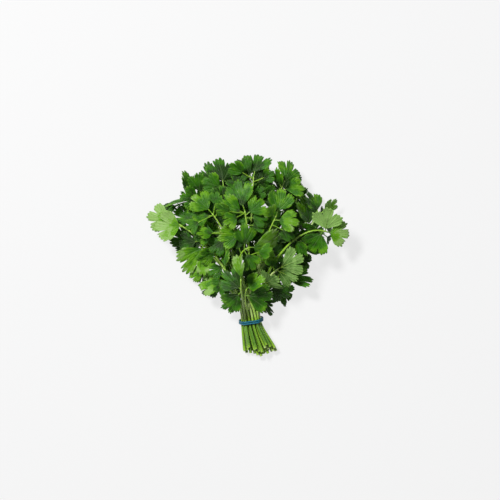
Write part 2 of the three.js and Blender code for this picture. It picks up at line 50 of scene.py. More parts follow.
STEM_RADIUS = 1.2  # at the cut end
TIP_RADIUS = 0.55  # where the last leaflets leave
THICKEST = 1.06  # the thickest stem, as a share of those radii
STEM_PITCH = 2.8  # between the middles of stems in the band
STEM_GAP = 0.5  # least clear space between two stems
STEM_STEP = 2  # between two points of a stem's line
LEG_POINTS = 60
ROWS = [5, 6, 5, 6, 5, 4]
ROW_PITCH = STEM_PITCH * math.sqrt(3) / 2
CUT_LENGTH = 25  # from the band to the cut ends of the lowest stems, at least
CUT_EXTRA = 6  # how much further those in the middle may reach
CUT_STEPPED = 7  # how much shorter the uppermost stems are cut
CUT_SPREAD = 1.8  # how far the bundle opens over that length
CUT_LEAN = 7.4  # and how far it leans to +X
CUT_SWAY = 1.1  # how far a cut end strays to each side
TAPER = 1.3  # above 1, a stalk loses its thickness near its tip
FLOOR_GAP = 0.05

BLADE_THICKNESS = 0.75
ROOT_DEPTH = 0.5
BLADE_CLEARANCE = 1.75
STALK_CLEARANCE = 1.2
BLADE_SAMPLE = 2
ROOT_FREE = 6.5  # leaflets of one stem may meet this close to their root
MOST_TRIES = 36
LOOSEST = {"heading": 50, "pitch": 60, "roll": 70, "shorter": 0.45}
PLAN_SWAY = {"heading": 12, "size": 0.1, "pitch": 17, "roll": 32}
OUTERMOST = 0.9
LOBE_REACH = {-1: 0.9, 0: 1.0, 1: 0.9}
LOBE_ROUNDNESS = 0.26

STRAND = 1.35  # diameter of the rubber strand
STRAND_PITCH = 1.5  # between its two turns
BAND_CLEARANCE = 0.25
BAND_TILT = 0.17
BAND_TURN = 0.14
BAND_REACH = 2.6  # half the length of bundle that the band may touch
BAND_SWAP = math.radians(50)  # half the angle in which its two turns change sides
HOLD = STEM_RADIUS * THICKEST + BAND_CLEARANCE + STRAND / 2  # from a stem's middle to the strand's
LOWEST_ROW = HOLD + STRAND_PITCH + STRAND / 2 + 2 * FLOOR_GAP
BAND_MIDDLE = LOWEST_ROW + (len(ROWS) - 1) * ROW_PITCH / 2

# ---- sizes of the finer forms
FINE_THICKNESS = 0.34  # of a leaf blade at its middle
RIM_SHARE = 0.35  # of that thickness, left at the rim
RINGS = 10  # from a blade's base to its rim
FINE_CLEFT = 0.13  # how much deeper than the part's own the clefts between lobes are
YOUNG = {"length": (7, 15), "turn": (25, 110), "pitch": (-40, 35), "roll": (-60, 60)}
YOUNG_STALKLET = (2, 13)  # its least and how much longer it may be
YOUNG_CURL = 0.03
YOUNG_CLEFT = 1.6  # times as deep as in larger leaflets
YOUNG_FROM = 17  # above the band, the lowest place for one
YOUNG_EVERY = 8  # along a stalk
YOUNG_ROUNDS = 4
YOUNG_TRIES = 16
YOUNG_GAIN = 2  # the least worth growing one for, in squares of bare floor hidden
YOUNG_OVER = 0.15  # what a square of other leaflets hidden counts for one
YOUNG_LOWER = 0.25  # what each millimetre of height counts against one
CROWDED = 40  # up to where the bundle's stalks lie close together
CROWDED_BEYOND = 0.5  # how far out of its skin a stalk looks for others
CROWDED_GAP = 1.0  # from there, over which others cease to count
PLAN_SAMPLE = 0.8
PLAN_SIDE = 220  # squares along each side of the plan
PLAN_SHIFT = np.array([110, 60])  # brings the whole bunch into it
PLAN_LOOK = 14  # how far off leaves count as being around a bare square
PLAN_SIDES = 7  # on how many of its eight sides they make it a gap in the bunch
PLAN_CLEAR = 2  # how far above a leaflet one that hides it is
YOUNG_BLADE_GAP = 1.0
YOUNG_STALK_GAP = 0.6
YOUNG_DETAIL = (3, 7)  # columns in a tooth and rings, of a young leaflet
LONGEST = 20  # a leaflet this long ripples fully
STALK_SIDES = 12
RIB_DEPTH = 0.06  # of the stalk's radius

# ---- the stems
# name, tip, heading and pitch of the stalk there, and leaflets. A leaflet is (distance back from the tip,
# heading, length, pitch, roll, stalklet, the freshness and yellowness of its green from 0 to 1, whose lower
# values also paint shade on leaflets deep in the bunch, and how far its sides curl up if that is much). A
# stem with (size, pairs) instead has the leaflets of an ordinary coriander leaf.
STEMS = [
    ("left_high", (-63, 80, 22), 156, -4, [
        (0, 168, 19, -12, -8, 3, 0.96), (9, 176, 21, 14, 8, 3, 0.98), (31, 236, 25, -2, -8, 4, 0.76),
        (33, 75, 17, 12, 10, 6, 0.6), (27, 190, 17, -24, 0, 5, 0.12)]),
    ("left_top", (-49, 98, 14), 104, 4, [
        (0, 91, 20, 4, 62, 3, 0.42), (1, 172, 20, 2, 82, 3, 0.5), (6, 132, 10, 16, 40, 5, 0.3),
        (14, 50, 19, -4, 0, 6, 0.3), (22, 150, 17, -2, 0, 7, 0.35)]),
    ("left_low", (-37, 40, 17), 158, -10, [
        (0, 196, 13, -8, 0, 2, 0.7), (3, 132, 17, -6, 10, 5, 0.12), (15, 186, 18, -6, 30, 2, 0.76),
        (24, 140, 17, -14, 10, 3, 0.1)]),
    ("left_base", (-9.5, 18.5, 16), 190, -6, [
        (0, 208, 17, -14, 20, 2, 0.28)]),
    ("left_upper", (-21, 42, 34), 110, 6, [
        (0, 74, 18, 8, -58, 2, 0.6), (9, 215, 14, -12, 10, 3, 0.28)]),
    ("left_flat", (-44, 62, 5), 148, -2, (20, 3)),
    ("middle_tall", (-8, 34, 44), 88, 10, [
        (0, 84, 22, 6, -40, 2, 0.8), (9, 136, 19, 0, -8, 2, 0.2), (11, 226, 17, -8, -14, 3, 0.3)]),
    ("middle_arch", (0, 59, 43), 10, -6, [
        (0, -4, 26, -6, 36, 2, 0.78), (6, 62, 19, 8, 0, 5, 0.4), (9, 128, 17, 8, 0, 5, 0.34)]),
    ("front_cup", (-3.5, 26, 34), 70, 8, [
        (0, 34, 16, 22, -20, 2, 0.62, 0.11), (5, -6, 21, 5, 26, 3, 0.42)]),
    ("right_high", (61, 71, 31), -22, -10, [
        (0, -6, 17, -8, 6, 2, 0.95), (1, 82, 20, 8, 180, 2, 0.92), (3, 240, 19, -16, 0, 3, 0.38),
        (2, 190, 20, -8, -14, 3, 0.1)]),
    ("right_top", (54, 86, 13), 62, 0, [
        (0, 104, 17, 6, 52, 3, 0.45), (2, 33, 13, 10, 58, 8, 0.75), (14, 97, 26, 2, 42, 4, 0.5),
        (11, 130, 18, 8, 16, 5, 0.3), (24, 20, 16, -4, 0, 6, 0.12)]),
    ("right_middle", (22, 42, 26), 34, 0, [
        (0, 24, 23, 4, 176, 2, 0.55), (1, -26, 17, -8, 180, 2, 0.35), (4, 64, 16, 8, 44, 6, 0.55),
        (18, 50, 21, 12, 170, 3, 0.4)]),
    ("right_low", (27, 34, 14), -4, -6, [
        (0, 2, 22, -4, -42, 2, 0.22), (5, 52, 17, -4, 0, 5, 0.2)]),
    ("right_base", (16, 28, 12), -30, -6, [
        (0, -38, 17, -8, 26, 2, 0.14), (5, 24, 15, -10, 0, 4, 0.1)]),
    ("right_hanging", (9.5, 17, 8.5), -60, -8, [
        (0, -72, 14, -10, 50, 2, 0.1)]),
    ("right_flat", (38, 56, 5), 32, -2, (19, 3)),
    ("far_left_edge", (-40, 100, 21), 122, 0, (19, 3)),
    ("far_left", (-22, 108, 32), 104, 2, (20, 3)),
    ("far_middle", (2, 115, 36), 88, 0, (20, 3)),
    ("far_right", (25, 108, 31), 72, 2, (20, 3)),
    ("far_right_edge", (36, 95, 18), 62, 0, (18, 3)),
    ("top_left", (-31, 86, 40), 128, 4, (19, 3)),
    ("top_middle", (-5, 88, 47), 100, 4, (20, 3)),
    ("top_right", (20, 84, 42), 64, 4, (20, 3)),
    ("low_far_left", (-26, 106, 8), 110, -2, (19, 3)),
    ("low_far_middle", (0, 114, 14), 92, -2, (20, 3)),
    ("low_far_right", (27, 102, 8), 74, -2, (19, 3)),
    ("low_left", (-22, 70, 7), 126, -2, (20, 3)),
    ("low_right", (22, 68, 7), 56, -2, (20, 3)),
    ("inner_left", (-28, 60, 22), 140, 2, (19, 2)),
    ("inner_right", (14, 62, 27), 58, 2, (19, 2)),
]

# The plan of an ordinary leaf, its end leaflet and then its pairs: back from the tip, turn from the stalk,
# share of the size, stalklet.
LEAF_PLAN = [
    (0, 0, 1, 4), (2, 62, 0.86, 4), (4, -62, 0.86, 4), (17, 68, 0.92, 8), (20, -68, 0.92, 8),
    (34, 60, 0.85, 12), (37, -60, 0.85, 12),
]


# ---- small helpers
def seeded(seed):
    """Numbers from 0 to 1 that are the same on every run."""
    state = (seed + 1) * 2654435761 & 0xFFFFFFFF

    def draw():
        nonlocal state
        state = (state * 1664525 + 1013904223) & 0xFFFFFFFF
        return state / 4294967296

    draw()
    draw()
    return draw


def between(draw, low, high):
    return low + (high - low) * draw()


def ramp(value, low, high):
    """Rises evenly from 0, where value is low, to 1, where it is high."""
    return np.clip((value - low) / (high - low), 0, 1)


def direction(heading, pitch):
    h, p = math.radians(heading), math.radians(pitch)
    return np.array([math.cos(h) * math.cos(p), math.sin(h) * math.cos(p), math.sin(p)])


def unit(vector):
    return vector / np.linalg.norm(vector)


def half_up(value):
    return math.floor(value + 0.5)


# ---- the lines of the stalks
def stems_in_order():
    """The stems with their places in the band, the bottom row first, each row from -X to +X."""
    stems = [
        {"name": n, "tip": np.array(t, float), "heading": h, "pitch": p, "leaflets": leaves, "seed": k}
        for k, (n, t, h, p, leaves) in enumerate(STEMS)
    ]
    focus = 45  # seen from the side, the stems rise as if from a point this far below the band
    stems.sort(key=lambda s: (s["tip"][2] - BAND_MIDDLE) / (s["tip"][1] + focus))
    ordered = []
    for row, count in enumerate(ROWS):
        first = len(ordered)
        ordered += sorted(stems[first : first + count], key=lambda s: s["tip"][0] / s["tip"][1])
        for k, stem in enumerate(ordered[first:]):
            stem["place"] = np.array([(k - (count - 1) / 2) * STEM_PITCH, 0, LOWEST_ROW + row * ROW_PITCH])
    return ordered


def bezier(a, b, c, d, t):
    s = 1 - t
    return a * s**3 + b * 3 * s * s * t + c * 3 * s * t * t + d * t**3


def evenly(points, step):
    """Points at even distances along a line of closer ones."""
    lengths = np.concatenate([[0], np.cumsum(np.linalg.norm(np.diff(points, axis=0), axis=1))])
    at = lengths[-1] * np.arange(half_up(lengths[-1] / step) + 1) / half_up(lengths[-1] / step)
    return np.stack([np.interp(at, lengths, points[:, k]) for k in range(3)], axis=1)


def stem_line(stem):
    """A stem's line from its cut end, through the band, to its tip, as points STEM_STEP apart."""
    draw = seeded(stem["seed"])

    def sway(reach):
        return (2 * draw() - 1) * reach

    band, tip = stem["place"], stem["tip"]
    middle = 1 - min(1, abs(band[0]) / (3 * STEM_PITCH))
    height = (band[2] - LOWEST_ROW) / ROW_PITCH / (len(ROWS) - 1)
    length = CUT_LENGTH + CUT_EXTRA * middle * draw() - CUT_STEPPED * height * (0.7 + sway(0.3))
    share = length / CUT_LENGTH
    fallen = STEM_RADIUS * THICKEST + FLOOR_GAP - LOWEST_ROW  # the lowest row comes to lie on the floor
    across = band[0] + (CUT_LEAN + band[0] * (CUT_SPREAD - 1)) * share + sway(CUT_SWAY)
    cut = np.array([across, -length, band[2] + fallen * share + sway(CUT_SWAY / 2)])
    third = np.linalg.norm(tip - band) / 3
    along = unit(unit(band - cut) + np.array([0, 1, 0]))
    end = direction(stem["heading"], stem["pitch"])
    legs = [
        (cut, cut + (band - cut) / 3, band - along * length / 3, band),
        (band, band + along * 0.9 * third, tip - end * third, tip),
    ]
    points = [bezier(*leg, k / LEG_POINTS) for n, leg in enumerate(legs) for k in range(LEG_POINTS + n)]
    return evenly(np.array(points), STEM_STEP)


def stem_radii(stem):
    share = np.arange(len(stem["line"])) / (len(stem["line"]) - 1)
    thinnest = 2 - THICKEST
    own = thinnest + (THICKEST - thinnest) * seeded(stem["seed"] + SEEDS["thickness"])()
    return own * (STEM_RADIUS + (TIP_RADIUS - STEM_RADIUS) * share**TAPER)


def part_stems(stems):
    """Pushes stems that come too close apart, a little at a time, and spreads each push along the stem."""
    rounds, search_every, search_reach = 150, 10, 7.0
    held, loose = 1, 9  # from the band, where it holds the stems still and where they have come free of it
    points = np.concatenate([s["line"] for s in stems])
    radii = np.concatenate([s["radii"] for s in stems])
    owner = np.repeat(np.arange(len(stems)), [len(s["line"]) for s in stems])
    number = np.arange(len(points))
    before = np.where(np.roll(owner, 1) == owner, number - 1, number)
    after = np.where(np.roll(owner, -1) == owner, number + 1, number)
    before[0], after[-1] = 0, number[-1]
    for turn in range(rounds):
        if turn % search_every == 0:
            far = ((points[:, None] - points[None]) ** 2).sum(2) > search_reach**2
            i, j = np.nonzero(~far & (owner[:, None] < owner[None]))
        gap = points[i] - points[j]
        least = radii[i] + radii[j] + STEM_GAP
        apart = np.linalg.norm(gap, axis=1)
        near = apart < least
        shift = gap[near] * ((least - apart) / apart / 2)[near, None]
        push = np.zeros_like(points)
        np.add.at(push, i[near], shift)
        np.add.at(push, j[near], -shift)
        eased = push * 0.5 + push[before] * 0.25 + push[after] * 0.25
        points = points + eased * ramp(np.abs(points[:, 1]), held, loose)[:, None]
        points[:, 2] = np.maximum(points[:, 2], radii + FLOOR_GAP)
    for k, stem in enumerate(stems):
        stem["line"] = points[owner == k]


# ---- the leaflets
def leaflet_frame(root, heading, pitch, roll):
    """Root is where the stalklet leaves the stalk; forward runs out along it, normal is the upper side's."""
    forward = direction(heading, pitch)
    level = np.array([-math.sin(math.radians(heading)), math.cos(math.radians(heading)), 0])
    up = np.cross(forward, level)
    c, s = math.cos(math.radians(roll)), math.sin(math.radians(roll))
    return {"root": root, "forward": forward, "side": level * c + up * s, "normal": up * c - level * s}


def blade_points(leaf, u, v, lift=0.0):
    """Points of a leaflet's middle surface at u along it and v across it, both measured on the flat leaf."""
    blade = np.maximum(0, u - leaf["stalklet"]) / leaf["length"]
    ripple = leaf["wave"] * blade * blade * np.sin(leaf["phase"] + leaf["ripples"] * np.arctan2(v, u))
    across = np.sin(leaf["cup"] * v) / leaf["cup"]
    height = (1 - np.cos(leaf["cup"] * v)) / leaf["cup"] + ripple + lift
    turn = leaf["bend"] * u
    along = np.sin(turn) / leaf["bend"] + height * np.sin(turn)
    drop = (np.cos(turn) - 1) / leaf["bend"] + height * np.cos(turn)
    return (
        leaf["root"]
        + along[..., None] * leaf["forward"]
        + across[..., None] * leaf["side"]
        + drop[..., None] * leaf["normal"]
    )


def blade_reach(leaf, angle):
    """How far the flat blade reaches from its base at angles off its midrib, before teeth and clefts."""
    lobe = np.clip(np.floor(angle / leaf["lobe_turn"] + 0.5), -1, 1)
    across = np.minimum(1, np.abs(angle - lobe * leaf["lobe_turn"]) / leaf["lobe_width"])
    share = np.where(lobe == 0, LOBE_REACH[0], LOBE_REACH[1])
    reach = leaf["length"] * share * np.cos(across * math.pi / 2) ** LOBE_ROUNDNESS
    return np.where(across < 1, reach, 0)


def blade_samples(leaf, apart=BLADE_SAMPLE):
    """Points all over a leaflet, to test how close it comes to others, and their distances from the root."""
    u = list(np.arange(1, leaf["stalklet"], apart, float))
    v = [0.0] * len(u)
    widest = leaf["lobe_turn"] + OUTERMOST * leaf["lobe_width"]
    for reach in np.arange(apart, leaf["length"] + 1e-9, apart):
        count = math.ceil(2 * widest * math.pi / 180 * reach / apart) + 1
        angle = (2 * np.arange(count) / (count - 1) - 1) * widest
        inside = reach <= blade_reach(leaf, angle)
        u += list(leaf["stalklet"] + reach * np.cos(np.radians(angle[inside])))
        v += list(reach * np.sin(np.radians(angle[inside])))
    u, v = np.array(u), np.array(v)
    points = blade_points(leaf, u, v)
    points[:, 2] = np.maximum(points[:, 2], BLADE_THICKNESS / 2)
    return points, u


def leaflet_plan(stem):
    """The leaflets that a stem should have, before any of them makes room for others."""
    if isinstance(stem["leaflets"], list):
        return stem["leaflets"]
    size, pairs = stem["leaflets"]
    draw = seeded(stem["seed"] + SEEDS["plan"])

    def sway(name):
        return (2 * draw() - 1) * PLAN_SWAY[name]

    plan = []
    for back, turn, share, stalklet in LEAF_PLAN[: 1 + 2 * pairs]:
        heading = stem["heading"] + turn + sway("heading")
        length = size * share * (1 + sway("size"))
        plan.append((back, heading, length, stem["pitch"] + sway("pitch"), sway("roll"), stalklet, None))
    return plan


def too_close(points, others, least):
    """Whether any of the points is nearer to any of the others than least, a number or one for each other."""
    if not len(points) or not len(others):
        return False
    most = np.max(least)
    near = np.all((others > points.min(0) - most) & (others < points.max(0) + most), axis=1)
    gap = points[:, None] - others[near][None]
    limit = least[near] if np.ndim(least) else least
    return bool(np.any((gap * gap).sum(2) < limit * limit))


def blade_shape(draw, curl=0.0):
    """The drawn part of a blade's shape, with curl to raise its sides."""
    lobe_turn = between(draw, 27, 37)
    return {
        "lobe_turn": lobe_turn,
        "lobe_width": lobe_turn * between(draw, 0.84, 0.96),
        "cleft": between(draw, 0.02, 0.15),
        "bend": between(draw, 0.008, 0.038),
        "cup": between(draw, -0.018, 0.042) + curl,
        "wave": between(draw, 0.6, 1.8),
        "ripples": between(draw, 4, 6),
        "phase": between(draw, 0, 2 * math.pi),
    }


class Space:
    """What is taken already: the stalks, and points all over the leaflets grown so far."""

    def __init__(self, stems):
        self.lines = np.concatenate([s["line"] for s in stems])
        self.radii = np.concatenate([s["radii"] for s in stems])
        self.owners = np.repeat([s["seed"] for s in stems], [len(s["line"]) for s in stems])
        self.points, self.u, self.by = np.zeros((0, 3)), np.zeros(0), np.zeros(0, int)

    def place(self, stem, leaf, blade_gap, stalk_gap):
        """Takes the leaflet's own space, if it is clear of other stems' stalks and of all leaflets."""
        points, u = blade_samples(leaf)
        foreign = self.owners != stem["seed"]
        same = self.by == stem["seed"]
        later = same & (self.u >= ROOT_FREE)
        if (
            too_close(points, self.lines[foreign], self.radii[foreign] + stalk_gap)
            or too_close(points, self.points[~same], blade_gap)
            or too_close(points[u >= ROOT_FREE], self.points[later], blade_gap)
        ):
            return False
        self.points = np.concatenate([self.points, points])
        self.u = np.concatenate([self.u, u])
        self.by = np.concatenate([self.by, np.full(len(u), stem["seed"])])
        stem["blades"].append(leaf)
        return True


def grow_leaflets(stems, space):
    """Grows the leaflets of every stem, those with a stated plan first. One that would come too close to
    another leaflet or stalk turns, tilts and in the end shrinks until it is clear, or is left out."""
    for stem in sorted(stems, key=lambda s: (not isinstance(s["leaflets"], list), s["seed"])):
        stem["blades"] = []
        for k, (back, heading, length, pitch, roll, stalklet, fresh, *curl) in enumerate(leaflet_plan(stem)):
            draw = seeded(stem["seed"] * 100 + k)
            at = len(stem["line"]) - 1 - half_up(back / STEM_STEP)
            shape = {"number": k, "at": at, "stalklet": stalklet, "fresh": fresh}
            shape.update(blade_shape(draw, sum(curl)))
            for attempt in range(MOST_TRIES):
                loose = attempt / MOST_TRIES
                turns = [(2 * draw() - 1) * LOOSEST[name] * loose for name in ("heading", "pitch", "roll")]
                axes = leaflet_frame(stem["line"][at], heading + turns[0], pitch + turns[1], roll + turns[2])
                leaf = {**shape, **axes, "length": length * (1 - LOOSEST["shorter"] * loose * loose)}
                if space.place(stem, leaf, BLADE_CLEARANCE, STALK_CLEARANCE):
                    break


class Cover:
    """A plan of the bunch in squares of one millimetre, with the height of whatever is uppermost in each."""

    def __init__(self, stems):
        self.top = np.full(PLAN_SIDE**2, -1.0)
        self.kept = np.zeros(PLAN_SIDE**2, bool)
        for stem in stems:
            for leaf in stem["blades"]:
                self.add(blade_samples(leaf, PLAN_SAMPLE)[0], leaf["fresh"] is not None)
        for stem in stems:
            self.add(stem["line"][stem["line"][:, 1] > YOUNG_FROM], True)
        leafy = self.top.reshape(PLAN_SIDE, PLAN_SIDE) >= 0
        sides = np.zeros(leafy.shape, int)
        for x, y in ((1, 0), (1, 1), (0, 1), (-1, 1), (-1, 0), (-1, -1), (0, -1), (1, -1)):
            moved = [np.roll(leafy, (x * far, y * far), (0, 1)) for far in range(1, PLAN_LOOK)]
            sides += np.any(moved, axis=0)
        self.inside = (leafy | (sides >= PLAN_SIDES)).ravel()

    def squares(self, points):
        """The square of each point, and its height."""
        x, y = np.round(points[:, :2] + PLAN_SHIFT).astype(int).T
        return x * PLAN_SIDE + y, points[:, 2]

    def add(self, points, kept=False):
        squares, heights = self.squares(points)
        np.maximum.at(self.top, squares, heights)
        self.kept[squares[heights >= self.top[squares]]] = kept

    def gain(self, points):
        """What a leaflet would add to the view from above: bare floor that it hides counts for it, and stalks
        and leaflets with a stated plan count against it."""
        squares, heights = self.squares(points)
        seen = np.unique(squares[heights > self.top[squares]])
        bare = np.where(self.inside[seen], 1.0, -1.0)
        over_leaves = np.where(self.kept[seen], -1.0, YOUNG_OVER)
        worth = np.where(self.top[seen] < 0, bare, over_leaves)
        return worth.sum() - YOUNG_LOWER * heights.mean()

    def share(self, leaf):
        """The share of a leaflet that others hide from above."""
        squares, heights = self.squares(blade_samples(leaf, PLAN_SAMPLE)[0])
        return (self.top[squares] > heights + PLAN_CLEAR).mean()


def young_leaflet(stem, at, draw):
    """One that could grow out of a stalk there, to either side of it."""
    ahead = stem["line"][at] - stem["line"][at - 1]
    length = between(draw, *YOUNG["length"])
    leaf = blade_shape(draw, YOUNG_CURL * draw())
    leaf["wave"] *= length / LONGEST
    leaf["cleft"] *= YOUNG_CLEFT
    turn = between(draw, *YOUNG["turn"]) * (1 if draw() < 0.5 else -1)
    heading = math.degrees(math.atan2(ahead[1], ahead[0])) + turn
    pitch, roll = between(draw, *YOUNG["pitch"]), between(draw, *YOUNG["roll"])
    stalklet = YOUNG_STALKLET[0] + YOUNG_STALKLET[1] * draw() ** 1.5
    leaf.update(leaflet_frame(stem["line"][at], heading, pitch, roll))
    leaf.update({"at": at, "length": length, "stalklet": stalklet, "number": None, "fresh": None})
    return leaf


def grow_young(stems, space, cover):
    """Fills in with young leaflets, too fine for the part's own solids, each on a thin stalklet. Of several
    that could grow from a place, the clear one with the most to add does."""
    for around in range(YOUNG_ROUNDS):
        for stem in sorted(stems, key=lambda s: s["seed"]):
            draw = seeded(stem["seed"] + SEEDS["young"] + around)
            at = len(stem["line"]) - 1 - half_up(YOUNG_EVERY * draw() / STEM_STEP)
            while stem["line"][at][1] > YOUNG_FROM:
                grown = []
                for _ in range(YOUNG_TRIES):
                    leaf = young_leaflet(stem, at, draw)
                    points = blade_samples(leaf, PLAN_SAMPLE)[0]
                    grown.append((cover.gain(points), points, leaf))
                for gain, points, leaf in sorted(grown, key=lambda g: -g[0]):
                    if gain < YOUNG_GAIN:
                        break
                    if space.place(stem, leaf, YOUNG_BLADE_GAP, YOUNG_STALK_GAP):
                        cover.add(points)
                        break
                at -= half_up(YOUNG_EVERY * between(draw, 0.6, 1.4) / STEM_STEP)


stems = stems_in_order()
for stem in stems:
    stem["line"] = stem_line(stem)
    stem["radii"] = stem_radii(stem)
part_stems(stems)
space = Space(stems)
grow_leaflets(stems, space)
cover = Cover(stems)
grow_young(stems, space, cover)


# ---- colours and node helpers
def srgb(code):
    """A colour written as six hexadecimal digits, as the linear values that a socket takes."""
    parts = [int(code[k : k + 2], 16) / 255 for k in (0, 2, 4)]
    return tuple(c / 12.92 if c <= 0.04045 else ((c + 0.055) / 1.055) ** 2.4 for c in parts) + (1.0,)


class Graph:
    """Short calls for the nodes that the trees here are made of. Most return the node's result."""

    def __init__(self, tree, family="ShaderNode"):
        self.tree, self.family = tree, family

    def feed(self, sockets, values):
        """Links or sets sockets: values has them in their order, or by their names."""
        for key, value in values.items() if isinstance(values, dict) else enumerate(values):
            if isinstance(value, bpy.types.NodeSocket):
                self.tree.links.new(value, sockets[key])
            else:
                sockets[key].default_value = value

    def node(self, kind, values=(), **settings):
        made = self.tree.nodes.new(kind if kind.startswith("ShaderNode") else self.family + kind)
        for name, value in settings.items():
            setattr(made, name, value)
        self.feed(made.inputs, values)
        return made.outputs

    def math(self, operation, *values, clamp=False):
        return self.node("ShaderNodeMath", values, operation=operation, use_clamp=clamp)[0]

    def times(self, first, second):
        return self.math("MULTIPLY", first, second)

    def plus(self, first, second, clamp=False):
        return self.math("ADD", first, second, clamp=clamp)

    def scaled(self, value, factor, added):
        return self.math("MULTIPLY_ADD", value, factor, added)

    def step(self, value, low, high, start=0.0, end=1.0):
        """A smooth step from start, where value is low, to end, where it is high."""
        return self.node("MapRange", (value, low, high, start, end), interpolation_type="SMOOTHSTEP")[0]

    def mix(self, share, first, second):
        """A blend of two colours, each a socket or six hexadecimal digits."""
        first, second = (srgb(c) if isinstance(c, str) else c for c in (first, second))
        return self.node("Mix", {0: share, 6: first, 7: second}, data_type="RGBA")[2]

    def tint(self, colour, mask, strength, other):
        """Brings another colour in where mask is high, by as much as strength."""
        return self.mix(self.times(mask, strength), colour, other)

    def noise(self, vector, scale, detail=2.0, rough=0.5):
        values = {"Vector": vector, "Scale": scale, "Detail": detail, "Roughness": rough}
        return self.node("TexNoise", values)["Fac"]

    def field(self, name):
        return self.node("Attribute", attribute_type="GEOMETRY", attribute_name=name)["Fac"]

    def places(self):
        return self.node("TexCoord")["Object"]

    def mapped(self):
        """The place on a leaf's flat map, or round and along a strand."""
        return self.node("UVMap", uv_map="flat_leaf")[0]

    def round_strand(self, stretch):
        """Places on a strand's skin for a noise, stretched along it."""
        place = self.node("SeparateXYZ", [self.mapped()])
        turn = self.times(place[0], 2 * math.pi)
        skin = (self.math("COSINE", turn), self.math("SINE", turn), self.times(place[1], stretch))
        return turn, self.node("CombineXYZ", skin)[0]

    def group(self, tree, **values):
        return self.node("Group", values, node_tree=tree)

    def bump(self, height, strength, distance):
        return self.node("Bump", {"Height": height, "Strength": strength, "Distance": distance})["Normal"]


def new_group(name, inputs, outputs, family="ShaderNode"):
    """A node group with named sockets: its graph, and the sockets of its input and output nodes."""
    tree = bpy.data.node_groups.new(name, family + "Tree")
    for way, sockets in (("INPUT", inputs), ("OUTPUT", outputs)):
        for socket, kind in sockets.items():
            tree.interface.new_socket(socket, in_out=way, socket_type="NodeSocket" + kind)
    given, result = tree.nodes.new("NodeGroupInput"), tree.nodes.new("NodeGroupOutput")
    return Graph(tree, family), given.outputs, result.inputs


def new_material(name):
    """A material with its graph and its Principled shader's node."""
    material = bpy.data.materials.new(name)
    material.use_nodes = True
    return material, Graph(material.node_tree), material.node_tree.nodes["Principled BSDF"]


# ---- effects that several materials share
def build_mottle():
    """Soft patches and fine specks of living tissue, from 0 to 1. Scale is patches per metre."""
    g, given, result = new_group(
        "tissue_mottle", {"Vector": "Vector", "Scale": "Float"}, {"Patches": "Float", "Specks": "Float"})
    patches = g.noise(given["Vector"], given["Scale"], 3.0, 0.55)
    specks = g.noise(given["Vector"], g.times(given["Scale"], 11.0), 2.0, 0.6)
    g.feed(result, {"Patches": g.step(patches, 0.3, 0.7), "Specks": g.step(specks, 0.35, 0.65)})
    return g.tree


VEIN_TURN = math.radians(33)  # between the main veins of two lobes, in a leaflet's flat map


def build_veins():
    """The veins of a leaflet, read from its flat map: a main vein in each lobe, side veins that leave it in
    pairs, and the fine net between them. All from 0 to 1."""
    g, _, result = new_group("leaf_veins", {}, {"Main": "Float", "Side": "Float", "Net": "Float"})
    flat = g.mapped()
    x, y, _ = g.node("SeparateXYZ", [flat])
    reach = g.math("SQRT", g.plus(g.times(x, x), g.times(y, y)))
    turn = g.math("DIVIDE", g.math("ARCTAN2", y, x), VEIN_TURN)
    lobe = g.math("MAXIMUM", g.math("MINIMUM", g.math("ROUND", turn), 1.0), -1.0)
    off = g.times(g.math("SUBTRACT", turn, lobe), VEIN_TURN)
    along = g.times(reach, g.math("COSINE", off))
    beside = g.math("ABSOLUTE", g.times(reach, g.math("SINE", off)))
    width = g.scaled(reach, -0.013, 0.022)
    main = g.step(g.math("DIVIDE", beside, width), 0.45, 1.25, 1.0, 0.0)
    spacing, lean = 0.125, math.radians(33)
    leaves = g.math("SUBTRACT", along, g.math("DIVIDE", beside, math.tan(lean)))
    cycle = g.math("SUBTRACT", g.math("FRACT", g.math("DIVIDE", leaves, spacing)), 0.5)
    distance = g.times(g.math("ABSOLUTE", cycle), spacing * math.sin(lean))
    side = g.times(g.step(distance, 0.003, 0.011, 1.0, 0.0), g.step(leaves, 0.1, 0.22))
    cells = g.node("TexVoronoi", {"Vector": flat, "Scale": 34.0}, feature="DISTANCE_TO_EDGE")
    net = g.step(cells["Distance"], 0.02, 0.11, 1.0, 0.0)
    g.feed(result, {"Main": main, "Side": side, "Net": net})
    return g.tree


mottle_group = build_mottle()
veins_group = build_veins()


